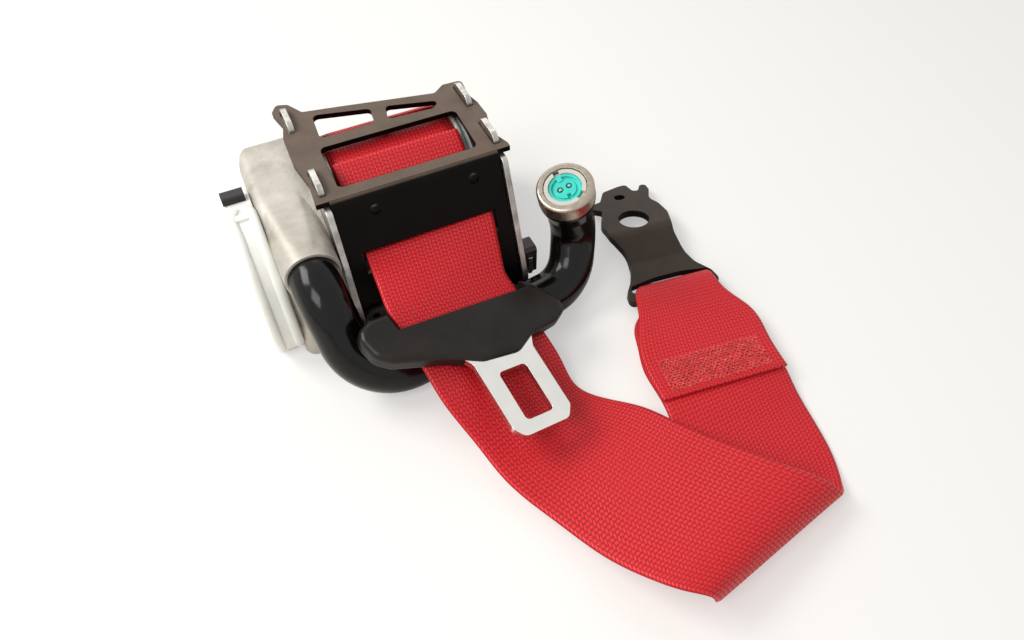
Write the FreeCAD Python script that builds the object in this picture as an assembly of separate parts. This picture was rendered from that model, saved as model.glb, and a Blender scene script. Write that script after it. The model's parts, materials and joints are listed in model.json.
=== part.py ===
# Seat belt: an inertia reel with a ball-driven pretensioner, its webbing, tongue and anchor plate.
# Millimetres, +Z up. The reel lies on its back plate, as on a bench, and its webbing leaves towards -Y.
# Inside this file X = 0 is the middle of the webbing and Y = 0 is the front bend of the guide plate.
# The finished parts are moved so that the origin is the centre of the reel's mounting hole at the bench.
import FreeCAD, Part
import math
import os

V = FreeCAD.Vector
os.makedirs("parts", exist_ok=True)

# Webbing
WEB_WIDTH = 47.0
WEB_THICK = 1.3
WEB_GAP = 0.5

# Reel frame, bent from one sheet
SHEET = 2.0
FRAME_INSIDE = 60.4
FRAME_TOP = 58.3
FRAME_BACK = 57.0
FRONT_LEAN = 0.40
WALL_LEAD = 1.6
BOLT_Y = 68.0
BOLT_HOLE = 12.0
FOOT_WIDTH = 34.0
FOOT_MARGIN = 14.0
TAB_LENGTH = 13.0
TAB_RISE = 3.0
FRONT_TAB_Y = 11.0
REAR_TAB_Y = {-1: 47.3, 1: 34.5}
TAB_PLAY = 0.25

# Guide plate over the reel
GUIDE_SHEET = 2.0
FLANGE_BOTTOM = 10.0
FLANGE_PLAY = 0.3
HOOK_INSIDE = 4.6
SLOT_Z = 36.6
SLOT_BELOW = 4.2
SLOT_ABOVE = 3.2
BEND_RADIUS = 3.0
DIMPLE_X = (-16.2, 19.3)
DIMPLE_Z = 51.6

# Spool and what turns with it
SPOOL_Y = 31.0
SPOOL_Z = 29.0
ROLL_RADIUS = 26.0
HUB_RADIUS = 10.0
RIM_RADIUS = 25.6
RIM_THICK = 1.2
ROLL_PLAY = 0.3
DISC_SHARE = 0.5
DISC_RADIUS = 24.0
DISC_PLAY = 0.1
JOURNAL_RADIUS = 6.0
JOURNAL_PLAY = 0.06
BUSH_WALL = 2.6
BUSH_LIP = 0.8
BUSH_PLAY = 0.05
TORSION_RADIUS = 4.2
TORSION_PLAY = 0.3

# Pretensioner on the left wall
CAST_WIDTH = 20.3
CAST_TOP = 50.0
CAST_BACK = 57.0
CAST_CURVE = 31.0
CAST_CURVE_Y = 22.0
CAST_FLOOR = 0.4
CAST_TOE = 1.5
CAST_CORNER = 16.0
CAST_BACK_CORNER = 9.0
CAST_EDGE = 4.5
CAST_WALL = 2.0
WHEEL_RADIUS = 17.0
WHEEL_WIDTH = 13.0
WHEEL_POCKETS = 8
BALL_RADIUS = 6.0
BALL_PLAY = 0.3
TUBE_RADIUS = 8.4
TUBE_BORE = 6.6
TUBE_SEAT_PLAY = 0.1
TUBE_SEAT_Y = 14.0
TUBE_TURN_Y = -20.5
TUBE_DROP = 1.0
TUBE_LIFT = 0.3
SNOUT_WALL = 1.2
SNOUT_START = 22.0
SNOUT_END = -10.5
SNOUT_LOW = 26.0
RING_RADIUS = 10.2
RING_BORE = 7.7
RING_HEIGHT = 6.0
RING_SEAT = 14.0
RING_EDGE = 1.2
CAN_DEPTH = 11.4
RING_PLAY = 0.1
INSERT_RADIUS = 5.8
PIN_RADIUS = 0.5
PIN_ASIDE = 1.7
PIN_RAISE = 0.4
INSERT_DEPTH = 4.6

# Return spring cover, outermost on the left
COVER_WIDTH = 10.0
COVER_RADIUS = 30.2
COVER_Y = 20.2
COVER_Z = 18.4
COVER_WALL = 2.2
COVER_EDGE = 3.0
COVER_GAP = 0.2
COVER_RIB = 1.8
COVER_RIB_RISE = 0.8
COVER_RIB_INSET = (1.5, 1.1)
COVER_RIB_START = 2.0
COVER_BRIDGE = 2.6
SPRING_STRIP = 0.6
SPRING_HEIGHT = 6.0
SPRING_TURNS = 5
SPRING_OUTER = 12.0
SPRING_ROOM = 0.8
ARBOR_RADIUS = 4.0

# Locking mechanism on the right wall
LOCK_TEETH = 18
LOCK_PHASE = 0.15
PAWL_CLEAR = 0.5
LOCK_TIP = 12.5
LOCK_ROOT = 10.2
LOCK_WIDTH = 3.0
LOCK_GAP = 0.8
LOCK_COVER_DEPTH = 7.2
LOCK_COVER_WALL = 1.4
PAWL_PIN_RADIUS = 1.5
PAWL_PIN_PLAY = 0.05
SENSOR_BALL = 4.0
SENSOR_ARM = 6.4

# Tongue
GRIP_ABOVE = 4.5
GRIP_BELOW = 1.9
GRIP_CROWN = 2.4
GRIP_EDGE = 1.0
GRIP_TAPER_X = 16.0
GRIP_TAPER = 0.17
BLADE_THICK = 2.6
BLADE_WIDTH = 23.0
BLADE_LENGTH = 47.5
WINDOW_WIDTH = 10.6
WINDOW_LENGTH = 18.6
WINDOW_END_BAR = 4.7
BLADE_MID = 3.4
BLADE_CORNERS = [1, 1.2, 3, 2, 3, 3, 2, 3, 1.2, 1]
TONGUE_SLOT_PLAY = 0.7
TONGUE_SIDE_PLAY = 1.8
TONGUE_LEAD = 12.0

# Anchor plate
ANCHOR_SHEET = 3.0
ANCHOR_HOLE = 12.4
ANCHOR_HOLE_AT = (-3.2, 1.9)
ANCHOR_BAR = 4.6
ANCHOR_BAR_ROUND = 1.4
ANCHOR_SLOT_LENGTH = 33.4
ANCHOR_SLOT_WIDE = 3.6
ANCHOR_SLOT_ARCH = 5.4
ANCHOR_REST = 4.4
ANCHOR_TILT = 12.0
ANCHOR_END = 42.0
ANCHOR_TAIL = 23.4
ANCHOR_TAIL_LIFT = 0.3
BAR_SWEEP = 2.35
STITCH_LENGTH = 13.0
STITCH_WIDTH = 39.0
STITCH_INSET = 2.0
STITCH_THICK = 0.3
STITCH_GAP = 0.1

# Places that several parts share
RING_POINT = V(46.4, -18.0, 50.7)
RING_BEND = V(53.6, -14.2, 24.0)
PAWL_Y = 46.5
PAWL_Z = 12.0
TONGUE_POINT = V(0.2, -36.3, 24.2)
WEB_DIRECTION = V(0.17, -0.87, -0.46).normalize()
ANCHOR_POINT = V(88.3, -4.6, 0)

# Edges of the webbing where it lies on the bench, chosen by eye: out to the fold, over it, and back below
RUN_LEFT = [(-13.4, -75.0, 9.6), (-10.2, -88.0, 7.0), (-2.5, -105.8, 6.0), (4.4, -122.5, 9.0),
            (12.7, -137.5, 14.0), (19.5, -145.6, 16.8)]
RUN_RIGHT = [(29.0, -64.5, 2.4), (33.6, -71.5, 2.0), (43.6, -81.5, 3.4), (50.6, -94.6, 7.0),
             (61.0, -112.5, 11.2), (71.5, -127.5, 14.0)]
FOLD_LEFT = [(25.2, -149.4, 14.6), (27.4, -149.8, 9.6), (29.5, -148.2, 4.6), (33.5, -143.5, 1.6)]
FOLD_RIGHT = [(79.2, -135.4, 11.6), (83.0, -137.8, 7.6), (86.6, -136.0, 3.8), (90.0, -131.2, 1.6)]
LAP_LEFT = [(38.6, -132.5, 1.0), (44.0, -117.5, 1.2), (48.0, -101.5, 2.6), (51.2, -86.2, 4.6)]
LAP_RIGHT = [(93.4, -122.6, 1.1), (96.0, -108.0, 1.6), (97.6, -98.0, 2.8), (99.0, -88.5, 4.6)]

# The sewn end: distance from the bolt hole, and its two edges, measured in the anchor plate's own frame
LOOP_SHAPE = [(71.5, -25.0, 22.2), (57.0, -20.3, 22.8), (47.0, -14.0, 17.6)]
LOOP_LOW = [4.0, 2.2, 1.15]
LOOP_HIGH = [6.3, 6.9, 7.7]
LOOP_END = (84.0, -25.0, 21.5, 6.15)
LOOP_BAR = (-12.6, 15.4)

# Derived places
INNER = FRAME_INSIDE / 2
OUTER = INNER + SHEET
WALL_MID = INNER + SHEET / 2
HALF_WEB = WEB_WIDTH / 2
PLATE_UNDER = FRAME_TOP - GUIDE_SHEET
CAST_OUTER = OUTER + CAST_WIDTH
COVER_INNER = CAST_OUTER + COVER_GAP
COVER_OUTER = COVER_INNER + COVER_WIDTH
SHAFT_END = -CAST_OUTER + CAST_WALL + 1.2
TUBE_X = -(OUTER + CAST_WIDTH / 2)
TUBE_LOW = TUBE_RADIUS + TUBE_LIFT
TUBE_TOP = CAST_TOP - TUBE_RADIUS - 0.9
RIM_END = HALF_WEB + ROLL_PLAY + RIM_THICK
LIP_FACE = INNER - 0.1 - BUSH_LIP


def save(shape, name):
    moved = shape.copy()
    moved.translate(V(0, -BOLT_Y, 0))
    moved.exportStep("parts/" + name + ".step")


# A corner stays sharp where its arc would take less than this off its sides
SMALLEST_CUT = 0.02


def rounded(points, radii, to3d):
    """A closed wire through 2D points with an arc at each corner, made smaller where two arcs would meet."""
    count = len(points)
    corners = [V(x, y, 0) for x, y in points]
    halves = []
    cuts = []
    for i in range(count):
        before = corners[i - 1] - corners[i]
        after = corners[(i + 1) % count] - corners[i]
        half = before.getAngle(after) / 2
        radius = radii[i] if isinstance(radii, (list, tuple)) else radii
        halves.append(half)
        cut = radius / math.tan(half)
        cuts.append(cut if half < math.pi / 2 - 0.01 and cut > SMALLEST_CUT else 0.0)
    for i in range(count):
        follow = (i + 1) % count
        room = 0.98 * (corners[follow] - corners[i]).Length
        wanted = cuts[i] + cuts[follow]
        if wanted > room:
            cuts[i] *= room / wanted
            cuts[follow] *= room / wanted
    edges = []
    ends = []
    for i in range(count):
        u = (corners[i - 1] - corners[i]).normalize()
        w = (corners[(i + 1) % count] - corners[i]).normalize()
        start = corners[i] + u * cuts[i]
        end = corners[i] + w * cuts[i]
        ends.append((start, end))
        if cuts[i] > SMALLEST_CUT:
            radius = cuts[i] * math.tan(halves[i])
            bisector = (u + w).normalize()
            mid = corners[i] + bisector * (radius / math.sin(halves[i]) - radius)
            edges.append((start, mid, end))
        else:
            edges.append(None)
    pieces = []
    for i in range(count):
        if edges[i]:
            start, mid, end = edges[i]
            pieces.append(Part.Arc(to3d(start.x, start.y), to3d(mid.x, mid.y), to3d(end.x, end.y)).toShape())
        end = ends[i][1]
        follow = ends[(i + 1) % count][0]
        if (follow - end).Length > 1e-6:
            pieces.append(Part.makeLine(to3d(end.x, end.y), to3d(follow.x, follow.y)))
    return Part.Wire(pieces)


def side_prism(points, radii, x_low, x_high):
    """An outline in Y and Z, extruded along X."""
    wire = rounded(points, radii, lambda y, z: V(x_low, y, z))
    return Part.Face(wire).extrude(V(x_high - x_low, 0, 0))


def flat_prism(points, radii, z_low, z_high):
    """An outline in X and Y, extruded along Z."""
    wire = rounded(points, radii, lambda x, y: V(x, y, z_low))
    return Part.Face(wire).extrude(V(0, 0, z_high - z_low))


def rod(radius, x_low, x_high, y=SPOOL_Y, z=SPOOL_Z):
    return Part.makeCylinder(radius, x_high - x_low, V(x_low, y, z), V(1, 0, 0))


def ring(outer, inner, x_low, x_high, y=SPOOL_Y, z=SPOOL_Z):
    return rod(outer, x_low, x_high, y, z).cut(rod(inner, x_low - 1, x_high + 1, y, z))


def block(x_low, x_high, y_low, y_high, z_low, z_high):
    return Part.makeBox(x_high - x_low, y_high - y_low, z_high - z_low, V(x_low, y_low, z_low))


def front_y(z, behind=0.0):
    """The leaning front of the reel at height z, moved back by a distance."""
    return -FRONT_LEAN * (FRAME_TOP - z) + behind


def round_path(points, radii):
    """Straight runs joined by tangent arcs."""
    edges = []
    last = points[0]
    for i in range(1, len(points) - 1):
        here = points[i]
        u = (points[i - 1] - here).normalize()
        w = (points[i + 1] - here).normalize()
        half = u.getAngle(w) / 2
        radius = radii[i - 1]
        reach = radius / math.tan(half)
        bisector = (u + w).normalize()
        centre = here + bisector * (radius / math.sin(half))
        start = here + u * reach
        end = here + w * reach
        edges.append(Part.makeLine(last, start))
        edges.append(Part.Arc(start, centre - bisector * radius, end).toShape())
        last = end
    edges.append(Part.makeLine(last, points[-1]))
    return Part.Wire(edges)


def pipe(path, radius):
    start = path.Edges[0].valueAt(path.Edges[0].FirstParameter)
    heading = path.Edges[0].tangentAt(path.Edges[0].FirstParameter)
    profile = Part.Wire([Part.makeCircle(radius, start, heading)])
    return path.makePipeShell([profile], True, False)


def webbing_rails(lefts, rights, thickness):
    """Four edge curves of a strip of webbing, from matching points along its left and right edges."""
    count = len(lefts)
    middles = [(lefts[i] + rights[i]) * 0.5 for i in range(count)]
    stops = [0.0]
    for i in range(1, count):
        stops.append(stops[-1] + (middles[i] - middles[i - 1]).Length)
    rails = [[], [], [], []]
    for i in range(count):
        ahead = middles[min(i + 1, count - 1)] - middles[max(i - 1, 0)]
        normal = (rights[i] - lefts[i]).cross(ahead).normalize() * (thickness / 2)
        for rail, point in zip(rails, (lefts[i] + normal, rights[i] + normal, rights[i] - normal,
                                       lefts[i] - normal)):
            rail.append(point)
    curves = []
    for rail in rails:
        curve = Part.BSplineCurve()
        curve.interpolate(Points=rail, Parameters=stops)
        curves.append(curve)
    return curves, stops


def strip_face(one, other):
    """Ruled face between two curves that share their parameters."""
    rows = [[a, b] for a, b in zip(one.getPoles(), other.getPoles())]
    surface = Part.BSplineSurface()
    surface.buildFromPolesMultsKnots(rows, one.getMultiplicities(), [2, 2], one.getKnots(), [0.0, 1.0],
                                     False, False, one.Degree, 1)
    return surface.toShape()


def webbing_piece(curves, start, end):
    """The closed solid between two stops of the rails."""
    parts = []
    for curve in curves:
        part = curve.copy()
        part.segment(start, end)
        parts.append(part)
    faces = [strip_face(parts[i], parts[(i + 1) % 4]) for i in range(4)]
    for stop, turned in ((start, False), (end, True)):
        corners = [curve.value(stop) for curve in curves]
        if turned:
            corners.reverse()
        faces.append(Part.Face(Part.makePolygon(corners + [corners[0]])))
    shell = Part.makeShell(faces)
    shell.sewShape()
    solid = Part.makeSolid(shell)
    if solid.Volume < 0:
        solid.reverse()
    return solid


def along(shape, base, direction):
    """Place a shape built up +Z from the origin onto a base point and direction."""
    placed = shape.copy()
    placed.Placement = FreeCAD.Placement(base, FreeCAD.Rotation(V(0, 0, 1), direction))
    return placed


def own_frame(shape, x_axis, y_axis, z_axis, origin):
    """Carry a shape from its own frame to three right-angled axes at an origin."""
    matrix = FreeCAD.Matrix(x_axis.x, y_axis.x, z_axis.x, origin.x, x_axis.y, y_axis.y, z_axis.y, origin.y,
                            x_axis.z, y_axis.z, z_axis.z, origin.z, 0, 0, 0, 1)
    moved = shape.copy()
    moved.Placement = FreeCAD.Placement(matrix).multiply(shape.Placement)
    return moved


def tube_axis(y):
    """The tube's centre where it runs through the casting, which slopes a little towards the front."""
    return V(TUBE_X, y, TUBE_TOP - TUBE_DROP * (TUBE_SEAT_Y - y) / (TUBE_SEAT_Y - TUBE_TURN_Y))


def base_frame():
    back = flat_prism([(-OUTER, front_y(0, 11.0)), (OUTER, front_y(0, 11.0)), (OUTER, FRAME_BACK - 6),
                       (FOOT_WIDTH / 2, FRAME_BACK + 2), (FOOT_WIDTH / 2, BOLT_Y + FOOT_MARGIN),
                       (-FOOT_WIDTH / 2, BOLT_Y + FOOT_MARGIN), (-FOOT_WIDTH / 2, FRAME_BACK + 2),
                       (-OUTER, FRAME_BACK - 6)], [3, 3, 2, 6, 12, 12, 6, 2], 0, SHEET)
    back = back.cut(Part.makeCylinder(BOLT_HOLE / 2, SHEET + 2, V(0, BOLT_Y, -1)))
    frame = back
    for side in (-1, 1):
        rear = REAR_TAB_Y[side] + TAB_LENGTH / 2 + 3
        outline = [(front_y(0, 9.0), 0), (FRAME_BACK, 0), (FRAME_BACK, 26), (rear, PLATE_UNDER),
                   (front_y(PLATE_UNDER, -WALL_LEAD), PLATE_UNDER),
                   (front_y(SLOT_Z, -WALL_LEAD), SLOT_Z), (front_y(12, -WALL_LEAD), 12)]
        low = min(side * INNER, side * OUTER)
        wall = side_prism(outline, [2, 3, 14, 6, 2, 0, 6], low, low + SHEET)
        for tab_y in (FRONT_TAB_Y, REAR_TAB_Y[side]):
            tab = side_prism([(tab_y - TAB_LENGTH / 2, PLATE_UNDER - 3),
                              (tab_y + TAB_LENGTH / 2, PLATE_UNDER - 3),
                              (tab_y + TAB_LENGTH / 2, FRAME_TOP + TAB_RISE),
                              (tab_y - TAB_LENGTH / 2, FRAME_TOP + TAB_RISE)], [0, 0, TAB_RISE, TAB_RISE],
                             low, low + SHEET)
            wall = wall.fuse(tab)
        wall = wall.cut(rod(JOURNAL_RADIUS + BUSH_WALL, low - 1, low + SHEET + 1))
        frame = frame.fuse(wall)
    lock_pin_hole = rod(PAWL_PIN_RADIUS, INNER - 1, OUTER + 1, PAWL_Y, PAWL_Z)
    return frame.cut(lock_pin_hole).removeSplitter()


def guide_plate():
    right = [(-0.2, -1.2), (2.6, 0.6), (2.6, 3.2), (0.8, 8.5), (1.0, 15), (2.6, 21), (2.4, 29), (1.2, 34),
             (2.2, 43.8), (-5.2, 44.2), (-9.7, 40.7)]
    left = [(-20.7, 48.2), (-7.2, 51.0), (-3.7, 57.5), (0.3, 59.0), (2.8, 55.0), (1.0, 46.0), (2.8, 39),
            (3.2, 24), (1.4, 12), (2.2, 1.0), (1.4, -1.2)]
    outline = [(OUTER + x, y) for x, y in right] + [(-OUTER - x, y) for x, y in left]
    top = flat_prism(outline, 1.6, PLATE_UNDER, FRAME_TOP)
    flange_half = INNER - FLANGE_PLAY
    back_shift = GUIDE_SHEET * math.hypot(1, FRONT_LEAN)
    bend = [(8, FRAME_TOP), (0, FRAME_TOP), (front_y(FLANGE_BOTTOM), FLANGE_BOTTOM),
            (front_y(FLANGE_BOTTOM, back_shift), FLANGE_BOTTOM),
            (front_y(PLATE_UNDER, back_shift), PLATE_UNDER),
            (8, PLATE_UNDER)]
    flange = side_prism(bend, [0, BEND_RADIUS, 0.6, 0.6, 1.0, 0], -flange_half, flange_half)
    cap = block(-40, 40, -10, 1.2, PLATE_UNDER - 1, FRAME_TOP + 1)
    plate = top.cut(cap).fuse(flange)
    behind_flange = side_prism([(front_y(0, back_shift), 0), (front_y(PLATE_UNDER, back_shift), PLATE_UNDER),
                                (30, PLATE_UNDER), (30, 0)], 0, -40, 40)
    for x in DIMPLE_X:
        centre = V(x, front_y(DIMPLE_Z, 1.9), DIMPLE_Z)
        plate = plate.fuse(Part.makeSphere(2.6, centre).cut(behind_flange))
        plate = plate.cut(Part.makeSphere(1.5, centre + V(0, 0.6, 0)))
    big = [(-INNER + 4.9, 6.0), (INNER - 5.6, 5.6), (INNER - 4.9, 28.0), (-INNER + 5.1, 28.4)]
    left = [(-INNER + 6.9, 33.5), (-3.0, 33.8), (-2.0, 42.2), (-INNER + 7.9, 47.4)]
    right = [(1.8, 33.4), (INNER - 11.4, 32.4), (INNER - 7.8, 35.8), (3.4, 41.2)]
    for window, radius in ((big, 2.2), (left, 2.0), (right, 1.5)):
        plate = plate.cut(flat_prism(window, radius, PLATE_UNDER - 5, FRAME_TOP + 5))
    slot_half = HALF_WEB + WEB_GAP + 0.7
    slot = [(-40, SLOT_Z - SLOT_BELOW), (20, SLOT_Z - SLOT_BELOW), (20, SLOT_Z + SLOT_ABOVE),
            (-40, SLOT_Z + SLOT_ABOVE)]
    plate = plate.cut(side_prism(slot, 0, -slot_half, slot_half))
    for side in (-1, 1):
        for tab_y in (FRONT_TAB_Y, REAR_TAB_Y[side]):
            plate = plate.cut(block(side * WALL_MID - SHEET / 2 - TAB_PLAY,
                                    side * WALL_MID + SHEET / 2 + TAB_PLAY,
                                    tab_y - TAB_LENGTH / 2 - TAB_PLAY, tab_y + TAB_LENGTH / 2 + TAB_PLAY,
                                    PLATE_UNDER - 5, FRAME_TOP + 5))
    return plate.removeSplitter()


def webbing_guide():
    """Plastic lip around the webbing's slot, clipped behind the front flange."""
    behind = GUIDE_SHEET * math.hypot(1, FRONT_LEAN)
    low = SLOT_Z - SLOT_BELOW - 4
    high = SLOT_Z + SLOT_ABOVE + 4
    outline = [(front_y(low, behind + 0.05), low), (front_y(low, behind + 4), low),
               (front_y(high, behind + 4), high), (front_y(high, behind + 0.05), high)]
    body = side_prism(outline, [0, 1, 1, 0], -INNER + 0.4, INNER - 0.4)
    mouth = [(-40, SLOT_Z - 2.0), (-8, SLOT_Z - 2.0), (5, SLOT_Z + 2.5), (5, SLOT_Z + 9), (-8, SLOT_Z + 2.0),
             (-40, SLOT_Z + 2.0)]
    return body.cut(side_prism(mouth, 0, -HALF_WEB - WEB_GAP, HALF_WEB + WEB_GAP))


def guide_hook():
    """Plastic hook with a pin hole on the flange's lower left corner."""
    x = HOOK_INSIDE - INNER
    z = 16.5
    plate = [(x - 4.2, z - 3.5), (x + 9.0, z - 3.5), (x + 9.0, z + 2.0), (x + 3.0, z + 4.2),
             (x - 4.2, z + 4.2)]
    wire = rounded(plate, [3, 1, 1, 1.5, 3], lambda a, b: V(a, front_y(b, -0.05), b))
    lean = V(0, -1, FRONT_LEAN).normalize()
    hook = Part.Face(wire).extrude(lean * 2.4)
    hole = Part.makeCylinder(1.3, 10, V(x - 0.6, front_y(z + 0.6, 3), z + 0.6), lean)
    return hook.cut(hole)


def wall_clip():
    """Plastic clip pushed onto the lower front corner of the right wall."""
    y = front_y(16, 5.5)
    body = side_prism([(y - 4.5, 10), (y + 4.5, 10), (y + 3.0, 22.5), (y - 4.5, 22.5)], [1, 1, 2, 1.5],
                      OUTER + 0.05, OUTER + 5.2)
    return body.cut(block(OUTER + 1.6, OUTER + 3.2, y - 6, y - 1.5, 9, 19))


def clip_tab():
    """Steel tongue in the clip's groove."""
    y = front_y(16, 5.5)
    return block(OUTER + 1.65, OUTER + 3.15, y - 5.2, y - 1.55, 10.5, 18.8)


def spool():
    """Die-cast spool: hub, two rims and the journals that run in the wall bushes."""
    rim_at = HALF_WEB + ROLL_PLAY
    body = rod(HUB_RADIUS, -rim_at, rim_at)
    for side in (-1, 1):
        low = min(side * rim_at, side * (rim_at + RIM_THICK))
        rim = rod(RIM_RADIUS, low, low + RIM_THICK)
        for k in range(6):
            angle = math.radians(60 * k)
            rim = rim.cut(rod(2.6, low - 1, low + RIM_THICK + 1, SPOOL_Y + 18 * math.cos(angle),
                              SPOOL_Z + 18 * math.sin(angle)))
        body = body.fuse(rim)
    body = body.fuse(rod(JOURNAL_RADIUS, SHAFT_END, OUTER + LOCK_GAP + LOCK_WIDTH))
    bore = rod(TORSION_RADIUS + TORSION_PLAY, -INNER, INNER)
    return body.cut(bore)


def torsion_bar():
    """Steel bar in the spool's bore, thicker where its ends are held."""
    half = INNER - 0.3
    bar = rod(TORSION_RADIUS * 0.7, -half, half)
    for side in (-1, 1):
        low = min(side * half, side * (half - 9))
        bar = bar.fuse(rod(TORSION_RADIUS, low, low + 9))
    return bar


def webbing_roll():
    """The wound webbing, as one ring."""
    return ring(ROLL_RADIUS, HUB_RADIUS + 0.1, -HALF_WEB, HALF_WEB)


def spool_disc():
    """Plastic disc between the right rim and the wall."""
    low = RIM_END + DISC_PLAY
    return ring(DISC_RADIUS, JOURNAL_RADIUS + DISC_PLAY, low, low + DISC_SHARE * (LIP_FACE - RIM_END))


def bush(side):
    """Flanged bearing bush, pressed into a wall of the frame from inside."""
    outer = JOURNAL_RADIUS + BUSH_WALL - BUSH_PLAY
    ends = sorted((side * LIP_FACE, side * (OUTER + 0.1)))
    lip_low = min(side * LIP_FACE, side * (LIP_FACE + BUSH_LIP))
    sleeve = rod(outer, ends[0], ends[1]).fuse(rod(outer + 2.0, lip_low, lip_low + BUSH_LIP))
    return sleeve.cut(rod(JOURNAL_RADIUS + JOURNAL_PLAY, ends[0] - 1, ends[1] + 1))


def long_edges(shape, x):
    """Edges of a prism's outline that lie in the plane at x."""
    found = []
    for edge in shape.Edges:
        box = edge.BoundBox
        if abs(box.XMin - x) < 1e-4 and abs(box.XMax - x) < 1e-4:
            found.append(edge)
    return found


def casting_snout(inner_x):
    """Cowl that narrows from the casting's own section to a round lip over the tube."""
    wide = rounded([(-CAST_OUTER, SNOUT_LOW), (inner_x, SNOUT_LOW), (inner_x, CAST_TOP),
                    (-CAST_OUTER, CAST_TOP)],
                   CAST_EDGE, lambda x, z: V(x, SNOUT_START, z))
    lip = tube_axis(SNOUT_END)
    reach = TUBE_RADIUS + SNOUT_WALL
    narrow = rounded([(lip.x - reach, lip.z - reach), (lip.x + reach, lip.z - reach),
                      (lip.x + reach, lip.z + reach),
                      (lip.x - reach, lip.z + reach)], reach, lambda x, z: V(x, SNOUT_END, z))
    return Part.makeLoft([wide, narrow], True, True)


def pretensioner_housing():
    """Casting on the left wall: a wide curve in front, a rounded outer rim and a cowl over the tube."""
    inner_x = -OUTER - 0.1
    front = CAST_CURVE_Y - CAST_CURVE
    profile = [(front, CAST_TOP), (front - CAST_TOE, CAST_FLOOR), (CAST_BACK, CAST_FLOOR),
               (CAST_BACK, CAST_TOP)]
    body = side_prism(profile, [CAST_CURVE, 0, 0, CAST_BACK_CORNER], -CAST_OUTER, inner_x)
    rim = [edge for edge in long_edges(body, -CAST_OUTER) if edge.BoundBox.ZMax > CAST_FLOOR + 0.1]
    body = body.makeFillet(CAST_EDGE, rim)
    plan = flat_prism([(-CAST_OUTER, -60), (inner_x, -60), (inner_x, CAST_BACK), (-CAST_OUTER, CAST_BACK)],
                      [0, 0, 0, CAST_CORNER], -1, CAST_TOP + 1)
    body = body.common(plan)
    wheel_room = rod(WHEEL_RADIUS + 2.2, -CAST_OUTER + CAST_WALL, inner_x + 1)
    shaft_hole = rod(ARBOR_RADIUS + 0.4, -CAST_OUTER - 1, inner_x + 1)
    heading = tube_axis(SNOUT_END) - tube_axis(TUBE_SEAT_Y)
    seat = Part.makeCylinder(TUBE_RADIUS + TUBE_SEAT_PLAY, 70, tube_axis(TUBE_SEAT_Y), heading)
    channel = Part.makeCylinder(BALL_RADIUS + 0.6, 30, V(TUBE_X, SPOOL_Y, TUBE_TOP), V(0, -1, 0))
    body = body.fuse(casting_snout(inner_x)).cut(wheel_room).cut(shaft_hole).cut(seat).cut(channel)
    return body.removeSplitter()


def drive_wheel():
    """Wheel with a pocket for each ball, driven when the balls are shot round it."""
    wheel_low = SHAFT_END
    wheel = rod(WHEEL_RADIUS, wheel_low, wheel_low + WHEEL_WIDTH)
    mid = TUBE_X
    for k in range(WHEEL_POCKETS):
        angle = 2 * math.pi * k / WHEEL_POCKETS + math.pi / 2
        reach = TUBE_TOP - SPOOL_Z
        pocket = Part.makeSphere(BALL_RADIUS + BALL_PLAY, V(mid, SPOOL_Y + reach * math.cos(angle),
                                                           SPOOL_Z + reach * math.sin(angle)))
        wheel = wheel.cut(pocket)
    return wheel.cut(rod(JOURNAL_RADIUS + 0.02, wheel_low - 1, wheel_low + WHEEL_WIDTH + 1))


def tube_path():
    return round_path([tube_axis(TUBE_SEAT_Y), tube_axis(TUBE_TURN_Y), V(-38.6, -38.0, TUBE_LOW),
                       V(46.5, -26.0, TUBE_LOW), RING_BEND, RING_POINT], [15, 20, 16, 12])


def ring_direction():
    return (RING_POINT - RING_BEND).normalize()


def turned(profile, depth):
    """A body turned round the ring's axis from radii and heights above a point that deep below its face."""
    points = [V(r, 0, h) for r, h in profile]
    body = Part.Face(Part.makePolygon(points + [points[0]])).revolve(V(0, 0, 0), V(0, 0, 1), 360)
    return along(body, RING_POINT - ring_direction() * depth, ring_direction())


def pretensioner_tube():
    """Bent steel tube that guides the balls, flared at its end to seat the gas generator."""
    path = tube_path()
    tube = pipe(path, TUBE_RADIUS).cut(pipe(path, TUBE_BORE))
    base = RING_POINT - ring_direction() * RING_SEAT
    tube = tube.cut(along(Part.makeCylinder(RING_RADIUS + 1, RING_SEAT + 5), base, ring_direction()))
    rise = RING_SEAT - RING_HEIGHT - RING_PLAY
    flare = turned([(TUBE_BORE, 0.0), (TUBE_RADIUS, 0.0), (RING_RADIUS - 0.2, rise - 1.5),
                    (RING_RADIUS - 0.2, rise),
                    (RING_BORE, rise), (RING_BORE, 2.5), (TUBE_BORE, 2.5)], RING_SEAT)
    return tube.fuse(flare).removeSplitter()


def generator_ring():
    """Rounded steel ring crimped over the flared tube, which holds the gas generator."""
    body = Part.makeCylinder(RING_RADIUS, RING_HEIGHT)
    top_edges = [edge for edge in body.Edges if edge.BoundBox.ZMin > RING_HEIGHT - 0.1]
    body = body.makeFillet(RING_EDGE, top_edges)
    body = body.cut(Part.makeCylinder(RING_BORE, RING_HEIGHT))
    return along(body, RING_POINT - ring_direction() * RING_HEIGHT, ring_direction())


def gas_generator():
    """Sealed metal can with its squib, pressed into the ring."""
    body = Part.makeCylinder(RING_BORE - 0.15, CAN_DEPTH - 5.0, V(0, 0, 0.2))
    body = body.fuse(Part.makeCylinder(TUBE_BORE - 0.3, 10.0, V(0, 0, -9.5)))
    return along(body, RING_POINT - ring_direction() * CAN_DEPTH, ring_direction())


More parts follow.
